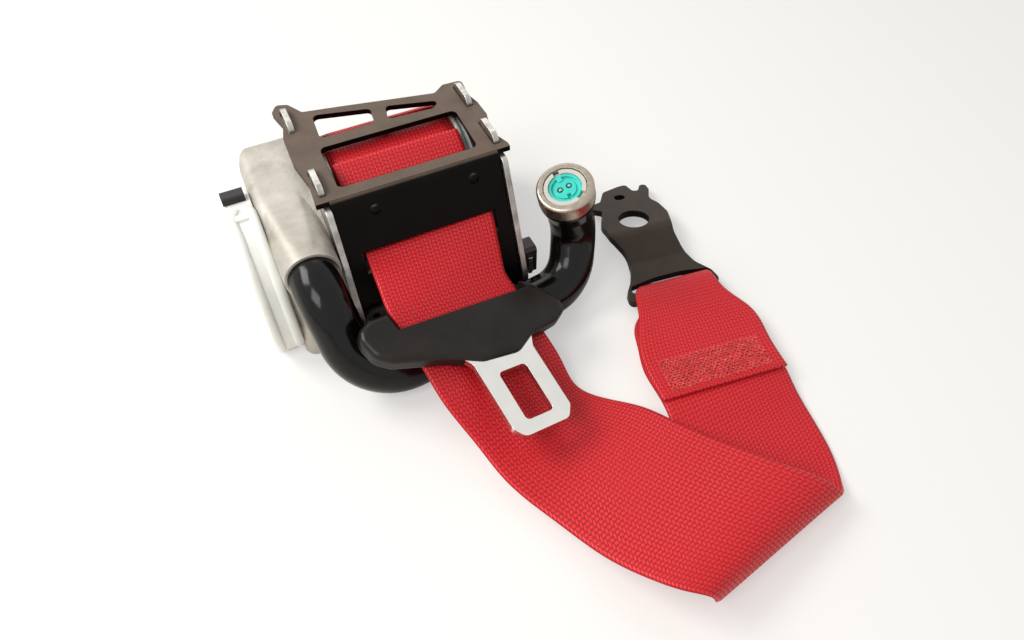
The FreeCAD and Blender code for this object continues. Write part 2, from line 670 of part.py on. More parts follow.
def insulating_ring():
    """Pale ring between the steel and the connector insert, open at its key and at the lower right."""
    height = 4.2
    body = Part.makeCylinder(RING_BORE - 0.25, height).cut(Part.makeCylinder(INSERT_RADIUS + 0.1, height))
    for width, turn in ((2.2, 90), (3.2, -60)):
        gap = block(0, RING_BORE, -width / 2, width / 2, height - 1.6, height + 1)
        gap.rotate(V(0, 0, 0), V(0, 0, 1), turn)
        body = body.cut(gap)
    return along(body, RING_POINT - ring_direction() * INSERT_DEPTH, ring_direction())


def connector_insert():
    """Plastic socket for the igniter plug: a cup with a key, two pin wells and a slot."""
    body = Part.makeCylinder(INSERT_RADIUS, 3.6)
    body = body.cut(Part.makeCylinder(INSERT_RADIUS - 0.9, 2, V(0, 0, 2.6)))
    body = body.fuse(Part.makeCylinder(3.9, 3.2))
    for x in (-PIN_ASIDE, PIN_ASIDE):
        body = body.cut(Part.makeCylinder(1.15, 3, V(x, PIN_RAISE, 1.6)))
    body = body.cut(block(-0.7, 0.7, -4.6, -2.4, 1.8, 5))
    body = body.fuse(block(-0.9, 0.9, 3.2, INSERT_RADIUS - 0.2, 0.5, 3.6))
    return along(body, RING_POINT - ring_direction() * INSERT_DEPTH, ring_direction())


def connector_pins():
    shapes = []
    for x in (-PIN_ASIDE, PIN_ASIDE):
        pin = Part.makeCylinder(PIN_RADIUS, 1.7, V(x, PIN_RAISE, 1.6))
        shapes.append(along(pin, RING_POINT - ring_direction() * INSERT_DEPTH, ring_direction()))
    return shapes


def drive_balls():
    """Balls waiting in the tube below the gas generator."""
    base = RING_POINT - ring_direction() * (CAN_DEPTH + 9.9)
    path = tube_path()
    length = path.Length
    used = (RING_POINT - base).Length + BALL_RADIUS
    points = path.discretize(Distance=0.25)
    shapes = []
    for k in range(7):
        at = length - used - k * (2 * BALL_RADIUS + 0.2)
        index = int(at / length * (len(points) - 1))
        shapes.append(Part.makeSphere(BALL_RADIUS, points[index]))
    return shapes


def cover_disc(x, radius, width):
    """Round slab on the cover's own centre, cut off level just above the bench."""
    disc = rod(radius, x, x + width, COVER_Y, COVER_Z)
    return disc.cut(block(x - 1, x + width + 1, -60, 90, -60, CAST_FLOOR))


def cover_rib(x_low, x_high, y_low, y_high):
    """A stretch of raised rib on the cover's rim, between two distances along the reel."""
    rib = ring(COVER_RADIUS + COVER_RIB_RISE, COVER_RADIUS - COVER_RIB, x_low, x_high, COVER_Y, COVER_Z)
    return rib.common(block(x_low, x_high, y_low, y_high, CAST_TOE + 3, 90))


def spring_cover():
    """Outer plastic cover: a round shell over the return spring, with a ribbed channel down its front."""
    body = cover_disc(-COVER_OUTER, COVER_RADIUS, COVER_WIDTH)
    body = body.makeFillet(COVER_EDGE, long_edges(body, -COVER_OUTER)[:1])
    room = rod(SPRING_OUTER + SPRING_ROOM, -COVER_OUTER + COVER_WALL, -COVER_INNER + 1)
    outer_rib = -COVER_OUTER + COVER_RIB_INSET[0]
    inner_rib = -COVER_INNER - COVER_RIB_INSET[1]
    crest = COVER_Y - COVER_RIB_START
    for x in (outer_rib, inner_rib - COVER_RIB / 2):
        body = body.fuse(cover_rib(x, x + COVER_RIB, -90, crest))
    bridge = cover_rib(outer_rib, inner_rib, crest - COVER_BRIDGE, crest)
    return body.fuse(bridge).cut(room)


def cover_latch():
    """Black snap latch on top of the spring cover."""
    top = COVER_Z + COVER_RADIUS
    y = COVER_Y + 8.4
    body = side_prism([(y - 3.2, top - 0.4), (y + 2.8, top - 0.4), (y + 2.4, top + 1.6),
                       (y - 2.4, top + 2.0)],
                      [0.2, 0.2, 0.8, 0.8], -COVER_OUTER + 1.0, -COVER_INNER - 1.2)
    drum = rod(COVER_RADIUS + 0.05, -COVER_OUTER - 1, -COVER_INNER + 1, COVER_Y, COVER_Z)
    leg = block(-COVER_OUTER + 3.0, -COVER_INNER - 3.0, y - 1.5, y + 1.5, top - 3.0, top)
    return body.fuse(leg).cut(drum)


def return_spring():
    """Flat spiral spring between the arbor and the cover."""
    inner_radius = ARBOR_RADIUS + 0.4
    pitch = (SPRING_OUTER - inner_radius - SPRING_STRIP) / SPRING_TURNS
    steps = 14 * SPRING_TURNS
    inner = []
    outer = []
    x = -COVER_OUTER + COVER_WALL + 0.6
    for k in range(steps + 1):
        angle = 2 * math.pi * SPRING_TURNS * k / steps
        radius = inner_radius + pitch * angle / (2 * math.pi)
        for points, r in ((inner, radius), (outer, radius + SPRING_STRIP)):
            points.append(V(x, SPOOL_Y + r * math.cos(angle), SPOOL_Z + r * math.sin(angle)))
    edges = []
    for points in (inner, outer):
        curve = Part.BSplineCurve()
        curve.interpolate(points)
        edges.append(curve.toShape())
    ends = [Part.makeLine(inner[0], outer[0]), Part.makeLine(inner[-1], outer[-1])]
    wire = Part.Wire(Part.sortEdges([edges[0], ends[1], edges[1], ends[0]])[0])
    return Part.Face(wire).extrude(V(SPRING_HEIGHT, 0, 0))


def spring_arbor():
    """Hub on the end of the spool shaft that winds the return spring."""
    low = -COVER_OUTER + COVER_WALL + 0.4
    return rod(ARBOR_RADIUS, low, SHAFT_END)


def lock_wheel():
    """Toothed lock wheel on the right end of the spool, with a gap of its teeth over the pawl's nose."""
    points = []
    x = OUTER + LOCK_GAP
    for k in range(LOCK_TEETH):
        start = 2 * math.pi * (k + LOCK_PHASE) / LOCK_TEETH - math.pi / 2
        for radius, share in ((LOCK_ROOT, -0.26), (LOCK_ROOT, 0.26), (LOCK_TIP, 0.38), (LOCK_TIP, 0.58)):
            angle = start + 2 * math.pi * share / LOCK_TEETH
            points.append(V(x, SPOOL_Y + radius * math.cos(angle), SPOOL_Z + radius * math.sin(angle)))
    wheel = Part.Face(Part.makePolygon(points + [points[0]])).extrude(V(LOCK_WIDTH, 0, 0))
    return wheel.cut(rod(JOURNAL_RADIUS + 0.02, OUTER, OUTER + LOCK_GAP + LOCK_WIDTH + 1))


def lock_pawl():
    """Pawl beside the lock wheel, its nose just outside the teeth at rest."""
    x = OUTER + LOCK_GAP
    tip = SPOOL_Z - LOCK_TIP - PAWL_CLEAR
    body = side_prism([(PAWL_Y - 3.2, PAWL_Z - 3.4), (PAWL_Y + 3.4, PAWL_Z - 3.4),
                       (PAWL_Y + 3.4, PAWL_Z + 3.4),
                       (PAWL_Y - 2.0, PAWL_Z + 3.4), (SPOOL_Y + 2.2, tip - 2.4), (SPOOL_Y + 0.6, tip),
                       (SPOOL_Y - 0.5, tip), (SPOOL_Y - 1.0, tip - 4.0)],
                      [2.4, 2.4, 2.4, 1.2, 1, 0, 0, 1], x, x + LOCK_WIDTH)
    return body.cut(rod(PAWL_PIN_RADIUS + PAWL_PIN_PLAY, x - 1, x + LOCK_WIDTH + 1, PAWL_Y, PAWL_Z))


def pawl_pin():
    pin = rod(PAWL_PIN_RADIUS, INNER - 0.4, OUTER + LOCK_GAP + LOCK_WIDTH + 0.6, PAWL_Y, PAWL_Z)
    return pin


def lock_cover():
    """Plastic cover over the lock wheel and pawl, open towards the wall."""
    low = OUTER + 0.05
    outline = [(16.6, 3.0), (FRAME_BACK - 1, 3.0), (FRAME_BACK - 1, 30), (43, 46.0), (22, 46.0), (16.6, 38)]
    shell = side_prism(outline, [3, 3, 8, 8, 6, 6], low, low + LOCK_COVER_DEPTH)
    wall = LOCK_COVER_WALL
    inner = [(16.6 + wall, 3.0 + wall), (FRAME_BACK - 1 - wall, 3.0 + wall), (FRAME_BACK - 1 - wall, 30),
             (43, 46.0 - wall), (22, 46.0 - wall), (16.6 + wall, 38)]
    room = side_prism(inner, [2, 2, 7, 7, 5, 5], low - 1, low + LOCK_COVER_DEPTH - wall)
    return shell.cut(room)


def sensor_parts():
    """Vehicle sensor beside the lock cover: a cup, its steel ball, and the lever that the ball pushes."""
    x = OUTER + LOCK_COVER_DEPTH + 0.1
    y = 44.0
    z = 14.0
    width = 9.0
    ball_y = y + 2.2
    room = SENSOR_BALL / 2 + 0.3
    cup = block(x, x + width, y - 5.0, y + 5.8, z - 5.0, z + 8.6)
    cup = cup.cut(block(x + 1.6, x + width - 1.6, y - 6.0, y + 0.6, z - 4.0, z + 9.0))
    cup = cup.cut(Part.makeSphere(room, V(x + width / 2, ball_y, z)))
    cup = cup.cut(Part.makeCylinder(room, 10, V(x + width / 2, ball_y, z), V(0, -1, 0)))
    ball = Part.makeSphere(SENSOR_BALL / 2, V(x + width / 2, ball_y, z))
    pin_y = ball_y - SENSOR_BALL / 2 - 0.35 - 0.6
    pin_z = z + SENSOR_ARM
    lever = block(x + 2.2, x + width - 2.2, pin_y - 0.6, pin_y + 0.6, z - 3.0, pin_z)
    lever = lever.fuse(rod(1.3, x + 2.2, x + width - 2.2, pin_y, pin_z))
    lever = lever.cut(rod(0.6 + PAWL_PIN_PLAY, x, x + width, pin_y, pin_z))
    pin = rod(0.6, x + 0.6, x + width - 0.6, pin_y, pin_z)
    return cup.cut(pin), ball, lever, pin


def tongue_frame():
    """Axes of the tongue as it lies on the webbing: across, towards the reel, and up."""
    up = V(0.221, -0.163, 0.9615).normalize()
    back = (V(-0.13, 0.99, 0) - up * V(-0.13, 0.99, 0).dot(up)).normalize()
    across = back.cross(up).normalize()
    return across, back, up


def to_tongue(shape):
    across, back, up = tongue_frame()
    return own_frame(shape, across, back, up, TONGUE_POINT)


def blade_outline():
    half = BLADE_WIDTH / 2
    mid = BLADE_MID
    return [(mid - 16.0, -6.5), (mid - 16.2, -11.0), (mid - half, -18.5),
            (mid - half + 0.4, -BLADE_LENGTH + 4), (mid - half + 3, -BLADE_LENGTH),
            (mid + half - 3, -BLADE_LENGTH), (mid + half, -BLADE_LENGTH + 4), (mid + half, -19.5),
            (mid + 14.6, -13.0), (mid + 14.2, -6.5)]


def tongue_blade():
    blade = flat_prism(blade_outline(), BLADE_CORNERS, 0, BLADE_THICK)
    bottom = WINDOW_END_BAR - BLADE_LENGTH
    top = bottom + WINDOW_LENGTH
    window = flat_prism([(BLADE_MID - WINDOW_WIDTH / 2, top), (BLADE_MID + WINDOW_WIDTH / 2, top),
                         (BLADE_MID + WINDOW_WIDTH / 2, bottom), (BLADE_MID - WINDOW_WIDTH / 2, bottom)],
                        1.6, -1, BLADE_THICK + 1)
    return to_tongue(blade.cut(window))


def webbing_direction_in_tongue():
    across, back, up = tongue_frame()
    d = WEB_DIRECTION
    return V(d.dot(across), d.dot(back), d.dot(up))


def level_edges(shape, z):
    """Edges of a prism's outline that lie in the plane at z."""
    found = []
    for edge in shape.Edges:
        box = edge.BoundBox
        if abs(box.ZMin - z) < 1e-4 and abs(box.ZMax - z) < 1e-4:
            found.append(edge)
    return found


def tongue_grip():
    outline = [(-38.6, 2.2), (-36.8, -4.5), (-32.0, -8.4), (-24, -10.8), (-15.0, -13.4), (-4.0, -18.8),
               (9.3, -20.0), (17.2, -15.6), (28.6, -14.2), (33.4, -11.4), (34.8, -8.0), (32.2, -3.0),
               (28.0, 3.0), (22.0, 7.5), (-25.0, 9.4), (-33.0, 9.0), (-37.4, 6.2)]
    body = flat_prism(outline, [6, 6, 6, 8, 6, 6, 6, 4, 5, 3, 4, 4, 5, 4, 5, 5, 4], -GRIP_BELOW, GRIP_ABOVE)
    for height, radius in ((GRIP_ABOVE, GRIP_CROWN), (-GRIP_BELOW, GRIP_EDGE)):
        body = body.makeFillet(radius, level_edges(body, height))
    d = webbing_direction_in_tongue()
    slope = d.z / d.y
    shear = d.x / d.y
    half = HALF_WEB + TONGUE_SIDE_PLAY
    gap = WEB_THICK / 2 + TONGUE_SLOT_PLAY

    def lane(y_low, y_high, below, above):
        corners = []
        for y, x_sign in ((y_low, -1), (y_low, 1), (y_high, 1), (y_high, -1)):
            corners.append(V(x_sign * half + shear * y, y, slope * y + below))
        wire = Part.makePolygon(corners + [corners[0]])
        return Part.Face(wire).extrude(V(0, 0, above - below))

    body = body.cut(lane(-30, 30, -gap, gap))
    body = body.cut(lane(1.5, 30, -gap, 20))
    body = body.cut(lane(-30, -1.5, -20, gap))
    taper = [V(GRIP_TAPER_X, -40, -GRIP_BELOW), V(60, -40, -GRIP_BELOW + GRIP_TAPER * (60 - GRIP_TAPER_X)),
             V(60, -40, -GRIP_BELOW - 5), V(GRIP_TAPER_X, -40, -GRIP_BELOW - 5)]
    body = body.cut(Part.Face(Part.makePolygon(taper + [taper[0]])).extrude(V(0, 80, 0)))
    seat = flat_prism(blade_outline(), BLADE_CORNERS, -0.02, BLADE_THICK + 0.02)
    return to_tongue(body.cut(seat))


def web_point(along_web, side):
    """A point on the straight stretch of webbing: distance past the tongue's slot, and edge (-1 or 1)."""
    across = tongue_frame()[0]
    return TONGUE_POINT + WEB_DIRECTION * along_web + across * (side * HALF_WEB)


def roll_to_tongue():
    """Stations from the top of the roll to the front slot, and on in a straight line towards the tongue."""
    pairs = [(V(-HALF_WEB, y, z), V(HALF_WEB, y, z)) for y, z in ((22.0, 54.8), (16.2, 51.7), (4.0, 44.3))]
    slot = (V(-HALF_WEB, front_y(SLOT_Z), SLOT_Z), V(HALF_WEB, front_y(SLOT_Z), SLOT_Z))
    tongue = (web_point(-TONGUE_LEAD, -1), web_point(-TONGUE_LEAD, 1))
    for share in (0.0, 0.38, 0.76):
        pairs.append(tuple(a * (1 - share) + b * share for a, b in zip(slot, tongue)))
    return pairs


def through_tongue():
    """Stations of the flat stretch of webbing that the tongue can slide on."""
    return [(web_point(reach, -1), web_point(reach, 1)) for reach in (-TONGUE_LEAD, -4.0, 4.0, 14.0, 25.0)]


def listed(left, right):
    return [(V(*a), V(*b)) for a, b in zip(left, right)]


def loop_round_bar():
    """Stations under the plate's end bar, up through its slot and back over the bar."""
    mid = ANCHOR_END - ANCHOR_BAR / 2
    turn = BAR_SWEEP + WEB_GAP + WEB_THICK / 2
    pairs = []
    for along_plate, lift in ((0.0, -1.0), (-0.75, -0.66), (-1.0, 0.0), (-0.75, 0.66), (0.0, 1.0)):
        a = mid + along_plate * turn
        z = ANCHOR_REST + lift * turn
        pairs.append((anchor_place(a, LOOP_BAR[0], z), anchor_place(a, LOOP_BAR[1], z)))
    return pairs


def loop_layer(heights):
    return [(anchor_place(a, b, z), anchor_place(a, c, z)) for (a, b, c), z in zip(LOOP_SHAPE, heights)]


def webbing_pieces():
    """The webbing outside the reel is one strip, kept as a few pieces that meet face to face."""
    a, b, c, z = LOOP_END
    stretches = [("strap_exit", roll_to_tongue() + through_tongue()),
                 ("strap_run", listed(RUN_LEFT, RUN_RIGHT)),
                 ("strap_fold", listed(FOLD_LEFT, FOLD_RIGHT)),
                 ("strap_lap", listed(LAP_LEFT, LAP_RIGHT)),
                 ("anchor_loop", loop_layer(LOOP_LOW) + loop_round_bar() + loop_layer(LOOP_HIGH)[::-1]
                  + [(anchor_place(a, b, z), anchor_place(a, c, z))])]
    pairs = []
    last = []
    for name, stretch in stretches:
        pairs += stretch
        last.append(len(pairs) - 1)
    curves, stops = webbing_rails([p[0] for p in pairs], [p[1] for p in pairs], WEB_THICK)
    pieces = {}
    start = stops[0]
    for (name, stretch), index in zip(stretches, last):
        pieces[name] = webbing_piece(curves, start, stops[index])
        start = stops[index]
    return pieces


def anchor_frame():
    reach = V(-0.13, -0.9915, 0).normalize()
    right = V(0.9915, -0.13, 0).normalize()
    return reach, right


def anchor_place(a, b, z):
    reach, right = anchor_frame()
    p = ANCHOR_POINT + reach * a + right * b
    return V(p.x, p.y, z)


def to_anchor(shape):
    reach, right = anchor_frame()
    return own_frame(shape, -reach, -right, V(0, 0, 1), ANCHOR_POINT)


def anchor_plate():
    """Cranked steel plate. In its own frame the webbing's end is at -X and the bolted tail at +X."""
    tail = ANCHOR_TAIL + 2
    flat = ANCHOR_REST - ANCHOR_SHEET / 2
    under = [(tail, tail_under(tail)), (-10, tail_under(-10)), (-23.5, flat), (-ANCHOR_END, flat)]
    upright = ANCHOR_SHEET / math.cos(math.radians(ANCHOR_TILT))
    over = [(x, z + (upright if x > -11 else ANCHOR_SHEET)) for x, z in reversed(under)]
    profile = under + over
    bends = [0, 8, 4, ANCHOR_BAR_ROUND, ANCHOR_BAR_ROUND, 4, 8, 0]
    wire = rounded(profile, bends, lambda x, z: V(x, -30, z))
    bent = Part.Face(wire).extrude(V(0, 60, 0))
    outline = [(22.6, -2.0), (22.8, -5.6), (17.6, -6.4), (15.8, -8.4), (20.0, -11.0), (20.2, -13.6),
               (15.6, -13.4), (9.4, -10.4), (4.6, -12.4), (-2.6, -13.0), (-8.8, -11.4), (-14.0, -10.4),
               (-21.0, -11.0), (-29.0, -12.8), (-35.0, -17.2), (-ANCHOR_END, -18.6), (-ANCHOR_END, 19.4),
               (-36.0, 18.6), (-31.0, 15.0), (-25.0, 12.2), (-18.5, 11.6), (-10.0, 15.4), (-2.0, 15.7),
               (3.0, 13.6), (7.4, 11.4), (9.8, 14.4), (13.2, 14.4), (14.2, 9.6), (20.8, 5.6)]
    plan = flat_prism(outline, [1.4, 1.4, 1.6, 1.6, 1.4, 1.4, 3, 4, 4, 6, 8, 12, 12, 8, 4, 3, 3, 4, 8, 12,
                                12, 6, 6, 4,
                                1, 1, 1, 1, 3], -5, 20)
    plate = bent.common(plan)
    tilt = V(math.sin(math.radians(ANCHOR_TILT)), 0, math.cos(math.radians(ANCHOR_TILT)))
    centre = V(ANCHOR_HOLE_AT[0], ANCHOR_HOLE_AT[1], tail_under(ANCHOR_HOLE_AT[0]))
    plate = plate.cut(Part.makeCylinder(ANCHOR_HOLE / 2, 30, centre - tilt * 15, tilt))
    small = flat_prism([(12.6, 3.0), (12.6, -1.6), (16.2, -1.6), (16.2, 3.0)], 1.75, -5, 20)
    half = ANCHOR_SLOT_LENGTH / 2
    slot_near = ANCHOR_END - ANCHOR_BAR
    slot = flat_prism([(-slot_near, -half), (-slot_near, half), (ANCHOR_SLOT_WIDE - slot_near, half),
                       (ANCHOR_SLOT_ARCH - slot_near, half / 3), (ANCHOR_SLOT_ARCH - slot_near, -half / 3),
                       (ANCHOR_SLOT_WIDE - slot_near, -half)], [1.5, 1.5, 1.8, 12, 12, 1.8], -5, 20)
    return to_anchor(plate.cut(small).cut(slot))


def tail_under(x):
    """Height of the underside of the plate's tilted tail."""
    return ANCHOR_TAIL_LIFT + (ANCHOR_TAIL - x) * math.tan(math.radians(ANCHOR_TILT))


def stitch_patch():
    """The dense block of stitching, as a thin pad on the loop's upper layer."""
    a, b, c, z = LOOP_END
    near = anchor_place(a, (b + c) / 2, z)
    far = anchor_place(LOOP_SHAPE[0][0], (LOOP_SHAPE[0][1] + LOOP_SHAPE[0][2]) / 2, LOOP_HIGH[0])
    back = (far - near).normalize()
    across = (anchor_place(a, c, z) - anchor_place(a, b, z)).normalize()
    half = STITCH_WIDTH / 2
    up = across.cross(back).normalize()
    base = near + back * STITCH_INSET + up * (WEB_THICK / 2 + STITCH_GAP)
    corners = [base - across * half, base + across * half, base + across * half + back * STITCH_LENGTH,
               base - across * half + back * STITCH_LENGTH]
    return Part.Face(Part.makePolygon(corners + [corners[0]])).extrude(up * STITCH_THICK)


def build_all():
    save(base_frame(), "base_frame")
    save(guide_plate(), "guide_plate")
    save(webbing_guide(), "webbing_guide")
    save(guide_hook(), "guide_hook")
    save(wall_clip(), "wall_clip")
    save(clip_tab(), "clip_tab")
    save(spool(), "spool")
    save(torsion_bar(), "torsion_bar")
    save(webbing_roll(), "webbing_roll")
    save(spool_disc(), "spool_disc")
    save(bush(-1), "left_bush")
    save(bush(1), "right_bush")
    save(pretensioner_housing(), "pretensioner_housing")
    save(drive_wheel(), "drive_wheel")
    save(pretensioner_tube(), "pretensioner_tube")
    save(generator_ring(), "generator_ring")
    save(gas_generator(), "gas_generator")
    save(insulating_ring(), "insulating_ring")
    save(connector_insert(), "connector_insert")
    save(Part.makeCompound(connector_pins()), "connector_pins")
    save(Part.makeCompound(drive_balls()), "drive_balls")
    save(spring_cover(), "spring_cover")
    save(cover_latch(), "cover_latch")
    save(return_spring(), "return_spring")
    save(spring_arbor(), "spring_arbor")
    save(lock_wheel(), "lock_wheel")
    save(lock_pawl(), "lock_pawl")
    save(pawl_pin(), "pawl_pin")
    save(lock_cover(), "lock_cover")
    cup, ball, lever, pin = sensor_parts()
    save(cup, "sensor_housing")
    save(ball, "sensor_ball")
    save(lever, "sensor_lever")
    save(pin, "sensor_pin")
    for name, piece in webbing_pieces().items():
        save(piece, name)
    save(stitch_patch(), "stitch_patch")
    save(tongue_grip(), "tongue_grip")
    save(tongue_blade(), "tongue_blade")
    save(anchor_plate(), "anchor_plate")


build_all()
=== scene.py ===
import json
import math
import random
import bpy
import numpy as np
from mathutils import Matrix, Vector

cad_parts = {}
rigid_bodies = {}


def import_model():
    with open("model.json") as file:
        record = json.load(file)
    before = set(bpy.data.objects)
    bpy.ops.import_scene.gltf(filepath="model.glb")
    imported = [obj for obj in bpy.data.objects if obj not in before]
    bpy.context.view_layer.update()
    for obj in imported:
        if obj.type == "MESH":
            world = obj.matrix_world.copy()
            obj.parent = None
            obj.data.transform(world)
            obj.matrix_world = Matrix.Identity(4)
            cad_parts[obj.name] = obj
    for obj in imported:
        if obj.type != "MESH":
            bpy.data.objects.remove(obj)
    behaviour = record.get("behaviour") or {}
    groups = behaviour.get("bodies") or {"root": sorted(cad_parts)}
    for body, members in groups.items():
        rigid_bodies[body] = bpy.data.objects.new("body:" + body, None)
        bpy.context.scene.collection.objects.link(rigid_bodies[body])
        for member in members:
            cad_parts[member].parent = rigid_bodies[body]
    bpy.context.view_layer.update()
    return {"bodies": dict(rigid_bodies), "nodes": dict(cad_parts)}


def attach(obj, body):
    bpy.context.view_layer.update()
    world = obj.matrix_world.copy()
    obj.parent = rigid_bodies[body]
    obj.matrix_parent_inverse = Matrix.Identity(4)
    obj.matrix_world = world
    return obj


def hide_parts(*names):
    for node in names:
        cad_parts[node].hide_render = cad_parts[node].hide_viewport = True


# Seat belt: reel with pretensioner, webbing, tongue and anchor plate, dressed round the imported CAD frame.
# Camera, lights, floor and the sizes in materials are in metres, +Z up. Shapes are in millimetres, and
# mesh_object scales them.
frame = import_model()
NODES = frame["nodes"]
MM = 0.001
# The strap's stations are given with y = 0 at the guide plate's bend. The part has y = 0 at the reel's bolt.
BOLT_Y = 68.0

# Camera, as fitted to the photograph
CAMERA_TURNS = (-24.75, 51.65, -0.68)
CAMERA_AIM = (0.02194, -0.09458, 0)
CAMERA_DISTANCE = 0.29255
FOCAL_PIXELS = 770.54
PHOTO_WIDTH = 1024
SENSOR_WIDTH = 36

# Floor: the share of its white that the camera sees unshaded, and where that share rises to all
PAPER_WHITE = 0.42
PAPER_FADE = (0.4, 1.1)
FLOOR_HALF = 4.0
FLOOR_DROP = 0.0002

# Light: strength of the white surroundings, and name, place, aim, size, watts and colour of each lamp
WORLD_LIGHT = 0.44
PART_MIDDLE = (0.02, -0.086, 0.02)
LAMPS = (
    ("window", (-0.46, 0.22, 0.62), PART_MIDDLE, (0.4, 0.34), 3.9, (1.0, 0.985, 0.96)),
    ("lamp", (-0.32, -0.26, 0.46), (0.0, -0.05, 0.02), (0.24, 0.24), 1.1, (1, 1, 1)),
    ("back_card", (0.2, 0.85, 0.75), PART_MIDDLE, (0.7, 0.4), 1.3, (1.0, 0.95, 0.89)),
)


def camera():
    azimuth, elevation, roll = (math.radians(turn) for turn in CAMERA_TURNS)
    back = Vector((math.sin(azimuth) * math.cos(elevation), -math.cos(azimuth) * math.cos(elevation),
                   math.sin(elevation)))
    right = Vector((math.cos(azimuth), math.sin(azimuth), 0))
    up = back.cross(right)
    view = Matrix((right, up, back))
    turn = Matrix(((math.cos(roll), math.sin(roll), 0), (-math.sin(roll), math.cos(roll), 0), (0, 0, 1)))
    place = Vector(CAMERA_AIM) + back * CAMERA_DISTANCE
    data = bpy.data.cameras.new("photo_camera")
    data.sensor_width = SENSOR_WIDTH
    data.lens = FOCAL_PIXELS / PHOTO_WIDTH * SENSOR_WIDTH
    data.clip_start = 0.005
    obj = bpy.data.objects.new("photo_camera", data)
    bpy.context.scene.collection.objects.link(obj)
    obj.matrix_world = Matrix.Translation(place) @ (turn @ view).transposed().to_4x4()
    bpy.context.scene.camera = obj


def area_light(name, place, aim, size, power, colour):
    data = bpy.data.lights.new(name, "AREA")
    data.shape = "RECTANGLE"
    data.size, data.size_y = size
    data.energy = power
    data.color = colour
    obj = bpy.data.objects.new(name, data)
    bpy.context.scene.collection.objects.link(obj)
    obj.location = place
    obj.rotation_euler = (Vector(aim) - Vector(place)).to_track_quat("-Z", "Y").to_euler()


class Shader:
    """A material's nodes, added one call at a time. Inputs are values, or outputs to link."""

    def __init__(self, name):
        self.material = bpy.data.materials.new(name)
        self.material.use_nodes = True
        self.tree = self.material.node_tree
        self.tree.nodes.clear()
        self.out = self.tree.nodes.new("ShaderNodeOutputMaterial")

    def put(self, socket, value):
        if isinstance(value, bpy.types.NodeSocket):
            self.tree.links.new(value, socket)
        elif hasattr(value, "__len__") and socket.type == "RGBA" and len(value) == 3:
            socket.default_value = (*value, 1)
        else:
            socket.default_value = value

    def node(self, kind, inputs=None, **settings):
        made = self.tree.nodes.new("ShaderNode" + kind)
        for key, value in settings.items():
            setattr(made, key, value)
        for key, value in (inputs or {}).items():
            self.put(made.inputs[key], value)
        return made

    def math(self, operation, a, b=0.0, clamp=False):
        return self.node("Math", {0: a, 1: b}, operation=operation, use_clamp=clamp).outputs[0]

    def place(self):
        return self.node("TexCoord").outputs["Object"]

    def noise(self, scale, detail=4.0, rough=0.55, vector=None, stretch=None, distort=0.0):
        vector = vector or self.place()
        if stretch:
            vector = self.node("Mapping", {"Vector": vector, "Scale": stretch}).outputs[0]
        return self.node("TexNoise", {"Vector": vector, "Scale": scale, "Detail": detail, "Roughness": rough,
                                      "Distortion": distort}).outputs["Fac"]

    def ramp(self, value, low, high, to_low=0.0, to_high=1.0):
        return self.node("MapRange", {"Value": value, "From Min": low, "From Max": high, "To Min": to_low,
                                      "To Max": to_high}, clamp=True).outputs[0]

    def mix(self, share, a, b):
        made = self.node("Mix", data_type="RGBA")
        for index, value in ((0, share), (6, a), (7, b)):
            self.put(made.inputs[index], value)
        return made.outputs[2]

    def bump(self, height, distance, strength=1.0, normal=None):
        inputs = {"Height": height, "Distance": distance, "Strength": strength}
        if normal:
            inputs["Normal"] = normal
        return self.node("Bump", inputs).outputs[0]

    def soft_edges(self, radius):
        return self.node("Bevel", {"Radius": radius}, samples=6).outputs[0]

    def edge_share(self, radius, low=0.02, high=0.25):
        """One where an edge is near, nothing on open faces."""
        soft = self.soft_edges(radius)
        flat = self.node("NewGeometry").outputs["Normal"]
        dot = self.node("VectorMath", {0: soft, 1: flat}, operation="DOT_PRODUCT").outputs["Value"]
        return self.ramp(self.math("SUBTRACT", 1.0, dot), low, high)

    def finish(self, **inputs):
        names = {key.replace("_", " "): value for key, value in inputs.items()}
        shader = self.node("BsdfPrincipled", names)
        self.tree.links.new(shader.outputs[0], self.out.inputs[0])
        return self.material


def srgb(r, g, b):
    """Linear colour of an 8-bit sRGB one."""
    return tuple((c / 255 / 12.92) if c <= 10 else ((c / 255 + 0.055) / 1.055) ** 2.4 for c in (r, g, b))


def paper():
    """White bench: part of its white shows to the camera as it is, and the rest takes the object's shadow.
    Far from the object it is all white."""
    s = Shader("paper")
    s.finish(Base_Color=srgb(252, 249, 242), Roughness=0.9, Specular_IOR_Level=0.1)
    shaded = s.out.inputs[0].links[0].from_socket
    white = s.node("Emission", {"Color": (1, 1, 1), "Strength": 1.0}).outputs[0]
    away = s.node("VectorMath", {0: s.place()}, operation="LENGTH").outputs["Value"]
    share = s.ramp(away, *PAPER_FADE, PAPER_WHITE, 1.0)
    seen = s.math("MULTIPLY", s.node("LightPath").outputs["Is Camera Ray"], share)
    both = s.node("MixShader", {0: seen, 1: shaded, 2: white}).outputs[0]
    s.put(s.out.inputs[0], both)
    return s.material


